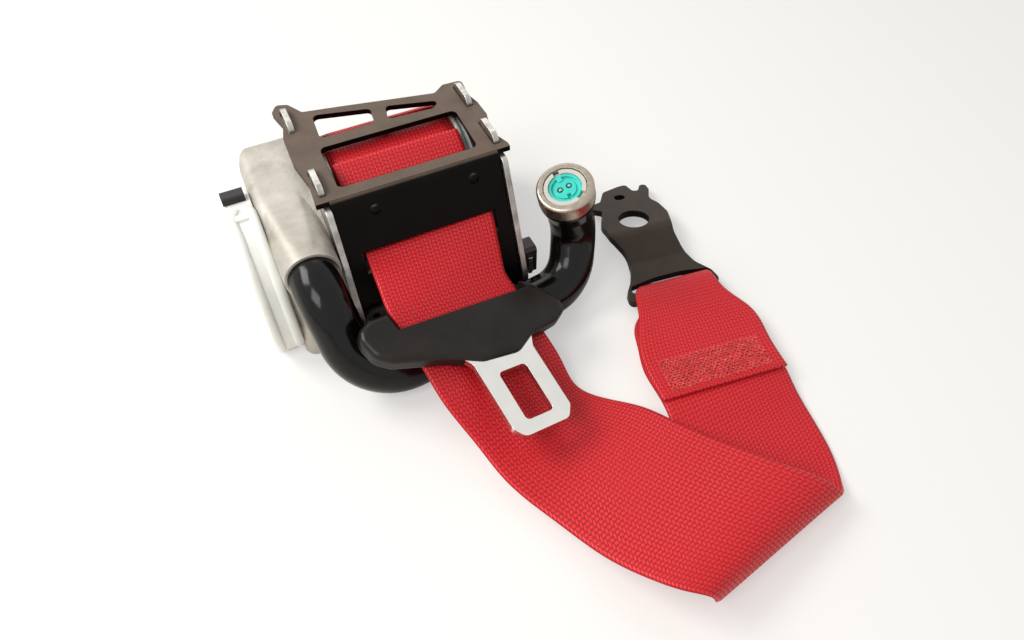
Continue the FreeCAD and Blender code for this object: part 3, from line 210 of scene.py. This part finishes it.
def floor_and_light():
    mesh = bpy.data.meshes.new("floor")
    corners = [(x * FLOOR_HALF, y * FLOOR_HALF, 0) for x, y in ((-1, -1), (1, -1), (1, 1), (-1, 1))]
    mesh.from_pydata(corners, [], [(0, 1, 2, 3)])
    floor = bpy.data.objects.new("floor", mesh)
    bpy.context.scene.collection.objects.link(floor)
    floor.location.z = -FLOOR_DROP
    mesh.materials.append(paper())
    world = bpy.data.worlds.new("world")
    bpy.context.scene.world = world
    world.use_nodes = True
    back = world.node_tree.nodes["Background"]
    back.inputs[0].default_value = (1, 1, 1, 1)
    path = world.node_tree.nodes.new("ShaderNodeLightPath")
    seen = world.node_tree.nodes.new("ShaderNodeMath")
    seen.operation = "MAXIMUM"
    level = world.node_tree.nodes.new("ShaderNodeMapRange")
    level.inputs["To Min"].default_value, level.inputs["To Max"].default_value = WORLD_LIGHT, 1.0
    link = world.node_tree.links.new
    link(path.outputs["Is Camera Ray"], seen.inputs[0])
    link(path.outputs["Is Glossy Ray"], seen.inputs[1])
    link(seen.outputs[0], level.inputs["Value"])
    link(level.outputs[0], back.inputs[1])
    for lamp in LAMPS:
        area_light(*lamp)


# Materials
def galvanised(name):
    s = Shader(name)
    cloud = s.noise(160, 3)
    brushed = s.noise(900, 2, stretch=(0.2, 1, 1))
    edge = s.edge_share(0.0006)
    base = s.mix(s.ramp(cloud, 0.35, 0.7), srgb(150, 146, 140), srgb(206, 204, 200))
    base = s.mix(edge, base, srgb(232, 230, 226))
    rough = s.ramp(brushed, 0.3, 0.7, 0.26, 0.42)
    return s.finish(Base_Color=base, Metallic=1.0, Roughness=rough,
                    Normal=s.bump(brushed, 0.00004, 0.5, s.soft_edges(0.0004)))


def painted_steel(name, dark, worn, rough, gloss, dust_and_sheen=0.0):
    """Black painted or blackened steel, rubbed brighter at its edges, with dust and painted sheen on upward
    faces.
    """
    s = Shader(name)
    cloud = s.noise(120, 5)
    fine = s.noise(700, 3)
    edge = s.math("MULTIPLY", s.edge_share(0.0005, 0.05, 0.4), s.ramp(cloud, 0.42, 0.6))
    base = s.mix(s.ramp(cloud, 0.3, 0.75), dark, tuple(1.3 * c + 0.001 for c in dark))
    base = s.mix(s.math("MULTIPLY", edge, 0.6), base, worn)
    # Painted sheen: faces that look up turn a lighter brown-grey in patches. This is partly dust and partly
    # the light they would reflect.
    facing = s.node("SeparateXYZ", {0: s.node("TexCoord").outputs["Normal"]}).outputs[2]
    dust_and_sheen_patches = s.ramp(cloud, 0.3, 0.7, 0.75 * dust_and_sheen, dust_and_sheen)
    dust_and_sheen_on_top = s.math("MULTIPLY", s.ramp(facing, 0.75, 0.98), dust_and_sheen_patches)
    base = s.mix(dust_and_sheen_on_top, base, srgb(128, 111, 98))
    roughness = s.ramp(fine, 0.3, 0.7, rough - 0.03, rough + 0.04)
    return s.finish(Base_Color=base, Roughness=roughness,
                    Specular_IOR_Level=gloss, Normal=s.bump(fine, 0.00001, 0.4, s.soft_edges(0.00045)))


def plastic(name, colour, rough=0.4, grain=1400, depth=0.00003, vary=0.25, through=0.0, gloss=0.4):
    """Moulded plastic with a fine grained skin."""
    s = Shader(name)
    cloud = s.noise(90, 4)
    fine = s.node("TexVoronoi", {"Vector": s.place(), "Scale": grain}).outputs["Distance"]
    lighter = tuple(min(1.0, c * (1 + vary) + 0.003) for c in colour)
    darker = tuple(c * (1 - vary) for c in colour)
    base = s.mix(s.ramp(cloud, 0.3, 0.7), darker, lighter)
    rubbed = tuple(min(1.0, 1.7 * c + 0.02) for c in colour)
    base = s.mix(s.math("MULTIPLY", s.edge_share(0.0006), 0.35), base, rubbed)
    return s.finish(Base_Color=base, Roughness=s.ramp(cloud, 0.3, 0.7, rough - 0.06, rough + 0.08),
                    Subsurface_Weight=through, Subsurface_Scale=0.002, Specular_IOR_Level=gloss,
                    Normal=s.bump(fine, depth, 0.5, s.soft_edges(0.0005)))


def cast_metal(name, low, high, rough, metal):
    """Die-cast light alloy: blotchy, matt, brighter along rubbed edges."""
    s = Shader(name)
    cloud = s.noise(70, 5, 0.6, distort=0.6)
    spots = s.noise(340, 4, 0.7)
    fine = s.noise(1100, 3)
    edge = s.edge_share(0.0008)
    base = s.mix(s.ramp(cloud, 0.33, 0.68), low, high)
    stained = tuple(c * 0.72 for c in low)
    base = s.mix(s.math("MULTIPLY", s.ramp(spots, 0.55, 0.75), 0.35), base, stained)
    base = s.mix(s.math("MULTIPLY", edge, 0.55), base, srgb(240, 238, 230))
    height = s.math("ADD", fine, s.math("MULTIPLY", spots, 1.4))
    roughness = s.ramp(cloud, 0.3, 0.7, rough - 0.08, rough + 0.1)
    return s.finish(Base_Color=base, Metallic=metal, Roughness=roughness,
                    Normal=s.bump(height, 0.00006, 0.8, s.soft_edges(0.0006)))


def plain_metal(name, colour, rough, scratch=600, stretch=(1, 1, 1)):
    """Bare or plated metal with fine marks. The stretch draws them out."""
    s = Shader(name)
    marks = s.noise(scratch, 3, stretch=stretch)
    cloud = s.noise(130, 3)
    base = s.mix(s.ramp(cloud, 0.3, 0.7), tuple(c * 0.93 for c in colour), colour)
    roughness = s.ramp(marks, 0.3, 0.7, rough * 0.7, rough * 1.35)
    return s.finish(Base_Color=base, Metallic=1.0, Roughness=roughness,
                    Normal=s.bump(marks, 0.00002, 0.35, s.soft_edges(0.0003)))


def webbing_material():
    """Rows of picks in colour and bump, each row shifted against the next, as on the photographed belt."""
    s = Shader("webbing")
    cloth = s.node("Attribute", attribute_name="cloth").outputs["Vector"]
    split = s.node("SeparateXYZ", {0: cloth})
    across, along_it = split.outputs[0], split.outputs[1]
    column = s.math("MULTIPLY", across, 1 / (PICK_ACROSS * MM))
    zigzag = s.math("MULTIPLY", s.math("PINGPONG", column, 1.0), 0.5)
    row = s.math("ADD", s.math("MULTIPLY", along_it, 1 / (PICK_ALONG * MM)), zigzag)
    a = s.math("SUBTRACT", s.math("FRACT", column), 0.5)
    b = s.math("SUBTRACT", s.math("FRACT", row), 0.5)
    slant = s.math("ADD", b, s.math("MULTIPLY", a, 0.35))
    reach = s.math("ADD", s.math("POWER", s.math("MULTIPLY", a, 2.1), 2.0),
                   s.math("POWER", s.math("MULTIPLY", slant, 2.15), 2.0))
    dome = s.math("SQRT", s.math("SUBTRACT", 1.0, reach, clamp=True))
    thread = s.noise(2600, 2, vector=cloth, stretch=(1.0, 0.25, 1.0))
    height = s.math("ADD", dome, s.math("MULTIPLY", thread, 0.22))
    cloud = s.noise(38, 4, vector=cloth)
    # Painted light and shade: pick tops are lighter red and the valleys between them darker, as light and
    # shade fall on the weave.
    base = s.mix(s.ramp(dome, 0.0, 0.8), srgb(172, 12, 22), srgb(226, 34, 44))
    base = s.mix(s.math("MULTIPLY", s.ramp(cloud, 0.4, 0.7), 0.3), base, srgb(204, 20, 32))
    rough = s.math("ADD", s.ramp(thread, 0.3, 0.7, 0.0, 0.1), s.ramp(dome, 0.2, 0.8, 0.56, 0.28))
    return s.finish(Base_Color=base, Roughness=rough, Specular_IOR_Level=0.42,
                    Normal=s.bump(height, 0.00016, 0.9))


def thread_material():
    s = Shader("stitch_thread")
    fibres = s.noise(3000, 3, stretch=(1, 0.3, 1))
    cloud = s.noise(260, 4)
    speck = s.noise(1500, 2)
    base = s.mix(s.ramp(cloud, 0.35, 0.65), srgb(190, 30, 34), srgb(216, 58, 54))
    base = s.mix(s.math("MULTIPLY", s.ramp(speck, 0.57, 0.68), 0.65), base, srgb(232, 148, 138))
    return s.finish(Base_Color=base, Roughness=0.5, Sheen_Weight=0.3, Sheen_Tint=(1.0, 0.7, 0.65, 1),
                    Normal=s.bump(fibres, 0.0001, 0.6))


# Webbing, its picks, its rounded selvedge, its mesh steps and the ripple along its edges
WEB_WIDTH = 47.0
WEB_THICK = 1.3
HALF_WEB = WEB_WIDTH / 2
PICK_ACROSS = 1.36
PICK_ALONG = 1.5
SELVEDGE = 0.9
STRAP_STEP = 1.1
STRAP_COLUMNS = 33
STRAP_RIPPLE = 0.12


def unit(v):
    v = np.array(v, float)
    return v / np.linalg.norm(v)


# Where the strap runs, by the CAD source. Its edges are given as (x, y, z), out of the roll as (y, z), and by
# the anchor plate as (ahead, left, right) with heights of their own.
TONGUE_POINT = np.array((0.2, -36.3, 24.2))
WEB_DIRECTION = unit((0.17, -0.87, -0.46))
ACROSS = np.array((0.97113, 0.12752, -0.2016))
ANCHOR_POINT = np.array((88.3, -4.6, 0))
ANCHOR_REACH = unit((-0.13, -0.9915, 0))
ANCHOR_RIGHT = unit((0.9915, -0.13, 0))
ANCHOR_REST = 4.4
BAR_MIDDLE = 39.7
BAR_TURN = 3.5
BAR_REACH = 4.9
LOOP_FLARE = 4.6
SLOT_Z = 36.6
SLOT_Y = -8.68
ROLL_OUT = [(22.0, 54.8), (16.2, 51.7), (4.0, 44.3)]
SLOT_SHARES = (0.0, 0.38, 0.76)
TONGUE_LEAD = 12.0
REACHES = (-TONGUE_LEAD, -4.0, 4.0, 14.0, 25.0)
RUN_LEFT = [(-13.4, -75.0, 9.6), (-10.2, -88.0, 7.0), (-2.5, -105.8, 6.0), (4.4, -122.5, 9.0),
            (12.7, -137.5, 14.0), (19.5, -145.6, 16.8)]
RUN_RIGHT = [(29.0, -64.5, 2.4), (33.6, -71.5, 2.0), (43.6, -81.5, 3.4), (50.6, -94.6, 7.0),
             (61.0, -112.5, 11.2), (71.5, -127.5, 14.0)]
FOLD_LEFT = [(25.2, -149.4, 14.6), (27.4, -149.8, 9.6), (29.5, -148.2, 4.6), (33.5, -143.5, 1.6)]
FOLD_RIGHT = [(79.2, -135.4, 11.6), (83.0, -137.8, 7.6), (86.6, -136.0, 3.8), (90.0, -131.2, 1.6)]
LAP_LEFT = [(38.6, -132.5, 1.0), (44.0, -117.5, 1.2), (48.0, -101.5, 2.6), (51.2, -86.2, 4.6)]
LAP_RIGHT = [(93.4, -122.6, 1.1), (96.0, -108.0, 1.6), (97.6, -98.0, 2.8), (99.0, -88.5, 4.6)]
LOOP_SHAPE = [(71.5, -26.6, 21.6), (57.0, -23.4, 21.6), (47.0, -19.2, 16.6)]
LOOP_LOW = [4.0, 2.2, 1.15]
LOOP_HIGH = [6.3, 6.9, 7.7]
LOOP_END = (84.6, -26.2, 21.5, 6.15)
LOOP_BAR = (-12.6, 15.4)
# The loop round the anchor's bar: shares of BAR_REACH ahead and of BAR_TURN up
LOOP_TURN = ((0.0, -1.0), (-0.75, -0.66), (-1.0, 0.0), (-0.75, 0.66), (0.0, 1.0))


def anchor_place(a, b, z):
    """A point by its distance along the anchor plate, its distance to the right, and its height."""
    p = ANCHOR_POINT + ANCHOR_REACH * a + ANCHOR_RIGHT * b
    return np.array((p[0], p[1], z))


def web_point(reach, side):
    """A point on the flat stretch in the tongue: distance past its slot, and edge (-1 or 1)."""
    return TONGUE_POINT + WEB_DIRECTION * reach + ACROSS * (side * HALF_WEB)


def strap_stations():
    """Left and right edge points of the whole strap, from the roll to its cut end."""
    pairs = [(np.array((-HALF_WEB, y, z)), np.array((HALF_WEB, y, z))) for y, z in ROLL_OUT]
    slot = np.array(((-HALF_WEB, SLOT_Y, SLOT_Z), (HALF_WEB, SLOT_Y, SLOT_Z)))
    tongue = np.array([web_point(-TONGUE_LEAD, side) for side in (-1, 1)])
    pairs += [tuple(slot * (1 - share) + tongue * share) for share in SLOT_SHARES]
    pairs += [(web_point(reach, -1), web_point(reach, 1)) for reach in REACHES]
    for left, right in ((RUN_LEFT, RUN_RIGHT), (FOLD_LEFT, FOLD_RIGHT), (LAP_LEFT, LAP_RIGHT)):
        pairs += list(zip(left, right))
    for (a, b, c), z in zip(LOOP_SHAPE, LOOP_LOW):
        pairs.append((anchor_place(a, b, z), anchor_place(a, c, z)))
    for ahead, lift in LOOP_TURN:
        a, z = BAR_MIDDLE + ahead * BAR_REACH, ANCHOR_REST + lift * BAR_TURN
        spread = LOOP_FLARE * max(0.0, lift) ** 2
        pairs.append((anchor_place(a, LOOP_BAR[0] - spread, z), anchor_place(a, LOOP_BAR[1], z)))
    for (a, b, c), z in list(zip(LOOP_SHAPE, LOOP_HIGH))[::-1]:
        pairs.append((anchor_place(a, b, z), anchor_place(a, c, z)))
    a, b, c, z = LOOP_END
    pairs.append((anchor_place(a, b, z), anchor_place(a, c, z)))
    lefts, rights = np.array([p[0] for p in pairs]), np.array([p[1] for p in pairs])
    return lefts - (0, BOLT_Y, 0), rights - (0, BOLT_Y, 0)


def lengths(points):
    """Distance along a row of points, at each point."""
    return np.concatenate(([0], np.cumsum(np.linalg.norm(np.diff(points, axis=0), axis=1))))


def ring_faces(rings, sides, start=0):
    """Faces of a closed tube: rings of points one after another from start, with a cap at each end."""
    faces = []
    for i in range(rings - 1):
        low, high = start + i * sides, start + (i + 1) * sides
        for k in range(sides):
            after = (k + 1) % sides
            faces.append((low + k, low + after, high + after, high + k))
    faces.append(tuple(range(start, start + sides))[::-1])
    faces.append(tuple(range(start + (rings - 1) * sides, start + rings * sides)))
    return faces


def cubic(stops, values, at):
    """Natural cubic spline through values at stops, read at other places."""
    n = len(stops)
    h = np.diff(stops)
    matrix, side = np.eye(n), np.zeros((n, values.shape[1]))
    for i in range(1, n - 1):
        matrix[i, i - 1:i + 2] = h[i - 1], 2 * (h[i - 1] + h[i]), h[i]
        side[i] = 6 * ((values[i + 1] - values[i]) / h[i] - (values[i] - values[i - 1]) / h[i - 1])
    bend = np.linalg.solve(matrix, side)
    k = np.clip(np.searchsorted(stops, at) - 1, 0, n - 2)
    t, w = (at - stops[k])[:, None], h[k][:, None]
    low, high, m0, m1 = values[k], values[k + 1], bend[k], bend[k + 1]
    rise = (high - low) / w - w * (2 * m0 + m1) / 6
    return low + t * rise + t ** 2 * m0 / 2 + t ** 3 * (m1 - m0) / (6 * w)


def mesh_object(name, points, faces, body, material):
    """A mesh in millimetres of the part's frame, riding on a body."""
    mesh = bpy.data.meshes.new(name)
    mesh.from_pydata([tuple(p) for p in np.asarray(points) * MM], [], faces)
    mesh.validate()
    mesh.polygons.foreach_set("use_smooth", [True] * len(mesh.polygons))
    mesh.materials.append(material)
    obj = bpy.data.objects.new(name, mesh)
    bpy.context.scene.collection.objects.link(obj)
    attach(obj, body)
    return obj


def strip(name, lefts, rights, along_mm, columns, body, material, wave=0.0):
    """A closed strip of webbing through matching edge rows, with rounded selvedges. Its attribute
    cloth has the weave's coordinates."""
    count = len(lefts)
    middle = (lefts + rights) / 2
    ahead = np.gradient(middle, axis=0)
    normal = np.cross(rights - lefts, ahead)
    normal /= np.linalg.norm(normal, axis=1)[:, None]
    even = np.linspace(-1, 1, columns)
    u = np.sin(even * math.pi / 2) * 0.35 + even * 0.65
    rim = np.clip((np.abs(u) * HALF_WEB - (HALF_WEB - SELVEDGE)) / SELVEDGE, 0, 1)
    half_thick = WEB_THICK / 2 * (0.35 + 0.65 * np.sqrt(1 - rim ** 2))
    points, cloth = [], []
    for i in range(count):
        swing = np.sin(along_mm[i] / 9.0 + 2.0 * u) + 0.6 * np.sin(along_mm[i] / 4.3 - 3.0 * u)
        ripple = wave * swing * np.abs(u) ** 2
        for side in (1, -1):
            order = slice(None) if side == 1 else slice(None, None, -1)
            for uu, tt, rr in zip(u[order], half_thick[order], ripple[order]):
                points.append(middle[i] + (rights[i] - lefts[i]) / 2 * uu + normal[i] * (side * tt + rr))
                cloth.append(((uu + 1) * HALF_WEB * MM, along_mm[i] * MM, side * 0.01))
    obj = mesh_object(name, points, ring_faces(count, 2 * columns), body, material)
    attribute = obj.data.attributes.new("cloth", "FLOAT_VECTOR", "POINT")
    attribute.data.foreach_set("vector", np.array(cloth, np.float32).ravel())
    return obj


def webbing(material):
    """The strap in one piece, from the reel to the cut end in the sewn loop."""
    lefts, rights = strap_stations()
    stops = lengths((lefts + rights) / 2)
    at = np.linspace(0, stops[-1], int(stops[-1] / STRAP_STEP))
    left, right = cubic(stops, lefts, at), cubic(stops, rights, at)
    along_mm = lengths((left + right) / 2)
    obj = strip("webbing_strap", left, right, along_mm, STRAP_COLUMNS, ROOT, material, STRAP_RIPPLE)
    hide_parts("strap_exit", "strap_run", "strap_fold", "strap_lap", "anchor_loop")


# Wound webbing: the spool's axis, the radii it fills, its turns and its mesh steps in a turn
SPOOL_Y = 31.0
SPOOL_Z = 29.0
ROLL_RADIUS = 26.0
HUB_RADIUS = 10.0
HUB_GAP = 0.1
ROLL_TURNS = 12
TURN_STEPS = 56
ROLL_START = 1.2
ROLL_COLUMNS = 9


def webbing_roll(material):
    """The wound length: a spiral strip whose layers show at the spool's windows."""
    steps = TURN_STEPS * ROLL_TURNS
    k = np.arange(steps + 1)
    angle = 2 * math.pi * k / TURN_STEPS
    pitch = (ROLL_RADIUS - HUB_RADIUS - HUB_GAP) / ROLL_TURNS
    growth = (ROLL_RADIUS - HUB_RADIUS - HUB_GAP - pitch) * k / steps
    radius = HUB_RADIUS + HUB_GAP + pitch / 2 + growth
    y = SPOOL_Y - BOLT_Y + radius * np.cos(angle + ROLL_START)
    z = SPOOL_Z + radius * np.sin(angle + ROLL_START)
    left = np.stack([np.full(steps + 1, -HALF_WEB), y, z], 1)
    right = np.stack([np.full(steps + 1, HALF_WEB), y, z], 1)
    along_mm = lengths(left)
    obj = strip("webbing_wound", left, right, along_mm, ROLL_COLUMNS, "spool", material)
    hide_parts("webbing_roll")


# Sewing: rows and stitches in a row, the block's width, its first row and its depth, and each stitch's mesh
STITCH_ROWS = 13
STITCH_COUNT = 42
STITCH_WIDTH = 38.6
STITCH_START = 0.6
STITCH_DEPTH = 11.9
STITCH_RINGS = 5
STITCH_SIDES = 6
STITCH_LEAN = 0.75
STITCH_SEED = 7


def stitches(material):
    """The block of sewing: rows of zigzag stitches, each a small closed bead half sunk in the webbing."""
    a, b, c, z = LOOP_END
    near = anchor_place(a, (b + c) / 2, z)
    far = anchor_place(LOOP_SHAPE[0][0], (LOOP_SHAPE[0][1] + LOOP_SHAPE[0][2]) / 2, LOOP_HIGH[0])
    back = unit(far - near)
    across = unit(anchor_place(a, c, z) - anchor_place(a, b, z))
    up = unit(np.cross(across, back))
    base = near + back * 2.0 + up * (WEB_THICK / 2) - (0, BOLT_Y, 0)
    rng = random.Random(STITCH_SEED)
    points, faces = [], []
    for row in range(STITCH_ROWS):
        for k in range(STITCH_COUNT):
            x = -STITCH_WIDTH / 2 + STITCH_WIDTH * (k + 0.5) / STITCH_COUNT + rng.uniform(-0.25, 0.25)
            y = STITCH_START + STITCH_DEPTH * row / (STITCH_ROWS - 1) + rng.uniform(-0.25, 0.25)
            lean = (STITCH_LEAN if (k + row) % 2 else -STITCH_LEAN) + rng.uniform(-0.35, 0.35)
            heading = unit(across * math.cos(lean) + back * math.sin(lean))
            aside = unit(np.cross(up, heading))
            centre = base + across * x + back * y + up * rng.uniform(-0.05, 0.12)
            length, width = rng.uniform(0.6, 1.0), rng.uniform(0.28, 0.42)
            faces += ring_faces(STITCH_RINGS, STITCH_SIDES, len(points))
            for t in range(STITCH_RINGS):
                share = t / (STITCH_RINGS - 1) * 2 - 1
                radius = width * math.sqrt(max(0.08, 1 - share ** 2))
                arch = 0.2 * (1 - share ** 2) - 0.08
                for j in range(STITCH_SIDES):
                    turn = 2 * math.pi * j / STITCH_SIDES
                    points.append(centre + heading * (length * share) + aside * (radius * math.cos(turn))
                                  + up * (radius * math.sin(turn) * 0.8 + arch))
    obj = mesh_object("stitching_block", points, faces, ROOT, material)
    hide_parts("stitch_patch")


# Bead over the ribs of the spring cover: the cover's middle and radius, and the bead's lines, size and mesh
COVER_Y = 20.2
COVER_Z = 18.4
COVER_RADIUS = 30.2
CHANNEL_LEFT = -60.3
CHANNEL_RIGHT = -53.7
CHANNEL_WIDTH = 3.4
CHANNEL_HEIGHT = 1.15
CHANNEL_SINK = 0.1
BEAD_STEP = 0.7
BEAD_SIDES = 14


def bead(name, path, ups, width, height, material, body):
    """A rounded bead along a path on a surface: half buried, with tapered ends."""
    path, ups = np.array(path, float), np.array(ups, float)
    steps = lengths(path)
    at = np.linspace(0, steps[-1], max(12, int(steps[-1] / BEAD_STEP)))
    middle, lift = cubic(steps, path, at), cubic(steps, ups, at)
    ahead = np.gradient(middle, axis=0)
    ahead /= np.linalg.norm(ahead, axis=1)[:, None]
    lift -= ahead * np.sum(lift * ahead, axis=1)[:, None]
    lift /= np.linalg.norm(lift, axis=1)[:, None]
    aside = np.cross(ahead, lift)
    end = np.minimum(at, steps[-1] - at) / (width / 2)
    swell = np.sqrt(1 - (1 - np.clip(end, 0.02, 1)) ** 2)
    points = []
    for i in range(len(at)):
        for k in range(BEAD_SIDES):
            turn = 2 * math.pi * k / BEAD_SIDES
            points.append(middle[i] + aside[i] * (math.cos(turn) * width / 2 * swell[i])
                          + lift[i] * (math.sin(turn) * height * swell[i]) - (0, BOLT_Y, 0))
    return mesh_object(name, points, ring_faces(len(at), BEAD_SIDES), body, material)


def cover_channel(material):
    """A bead over the spring cover's ribs: up one of them, across at the crest, and down the other."""
    places = [(CHANNEL_LEFT, angle) for angle in range(208, 98, -10)]
    places += [(CHANNEL_LEFT + 0.6, 91), (-57.6, 86.5), (CHANNEL_RIGHT - 0.8, 89), (CHANNEL_RIGHT, 96)]
    places += [(CHANNEL_RIGHT, angle) for angle in range(106, 212, 10)]
    path, ups = [], []
    for x, angle in places:
        out = np.array((0, math.cos(math.radians(angle)), math.sin(math.radians(angle))))
        path.append(np.array((x, COVER_Y, COVER_Z)) + out * (COVER_RADIUS - CHANNEL_SINK))
        ups.append(out)
    bead("cover_channel", path, ups, CHANNEL_WIDTH, CHANNEL_HEIGHT, material, ROOT)


# The body that stays put
ROOT = next(name for name in frame["bodies"] if name in ("root", "reel"))
camera()
floor_and_light()
red = webbing_material()
webbing(red)
webbing_roll(red)
stitches(thread_material())

# Each finish: its maker, its name, the maker's values, and the CAD nodes that wear it
FINISHES = (
    (galvanised, "galvanised", {}, ["base_frame", "clip_tab"]),
    (painted_steel, "black_steel",
     dict(dark=srgb(8, 5, 3), worn=srgb(70, 62, 56), rough=0.3, gloss=0.08, dust_and_sheen=0.72), ["guide_plate"]),
    (painted_steel, "anchor_steel",
     dict(dark=srgb(20, 15, 12), worn=srgb(96, 90, 84), rough=0.32, gloss=0.14, dust_and_sheen=0.22),
     ["anchor_plate"]),
    (painted_steel, "tube_paint",
     dict(dark=srgb(8, 6, 5), worn=srgb(40, 36, 33), rough=0.15, gloss=0.25), ["pretensioner_tube"]),
    (plastic, "black_plastic", dict(colour=srgb(24, 21, 19), rough=0.42),
     ["webbing_guide", "cover_latch", "spring_arbor", "lock_cover", "sensor_housing", "sensor_lever"]),
    (plastic, "clip_plastic", dict(colour=srgb(40, 30, 26), rough=0.35), ["wall_clip"]),
    (plastic, "grip_plastic",
     dict(colour=srgb(25, 20, 16), rough=0.32, grain=1900, depth=0.00002, gloss=0.25), ["tongue_grip"]),
    (plastic, "grey_plastic", dict(colour=srgb(52, 46, 44)), ["guide_hook"]),
    (cast_metal, "cast_alloy",
     dict(low=srgb(168, 161, 149), high=srgb(208, 203, 193), rough=0.45, metal=0.3),
     ["pretensioner_housing", "spool", "drive_wheel"]),
    (plastic, "cover_plastic",
     dict(colour=srgb(240, 239, 232), rough=0.34, grain=900, vary=0.06, through=0.1), ["spring_cover"]),
    (plain_metal, "steel", dict(colour=srgb(196, 194, 190), rough=0.28),
     ["torsion_bar", "gas_generator", "connector_pins", "drive_balls", "lock_wheel", "lock_pawl",
      "pawl_pin", "sensor_ball", "sensor_pin"]),
    (plain_metal, "ring_steel", dict(colour=srgb(172, 161, 147), rough=0.32), ["generator_ring"]),
    (plain_metal, "spring_steel", dict(colour=srgb(150, 150, 152), rough=0.25), ["return_spring"]),
    (plain_metal, "bright_chrome",
     dict(colour=srgb(226, 225, 219), rough=0.14, scratch=900, stretch=(1, 0.2, 1)), ["tongue_blade"]),
    (plastic, "teal_plastic", dict(colour=srgb(62, 208, 194), rough=0.35, vary=0.12), ["connector_insert"]),
    (plastic, "disc_plastic", dict(colour=srgb(196, 210, 206), rough=0.35, vary=0.1), ["spool_disc"]),
    (plastic, "white_plastic", dict(colour=srgb(204, 202, 192), vary=0.04),
     ["left_bush", "right_bush", "insulating_ring"]),
)
made_finishes = {}
for make, finish_name, values, names in FINISHES:
    made = made_finishes[finish_name] = make(finish_name, **values)
    for node_name in names:
        node_mesh = NODES[node_name].data
        node_mesh.materials.clear()
        node_mesh.materials.append(made)

cover_channel(made_finishes["cover_plastic"])

bpy.context.scene.view_settings.view_transform = "Standard"
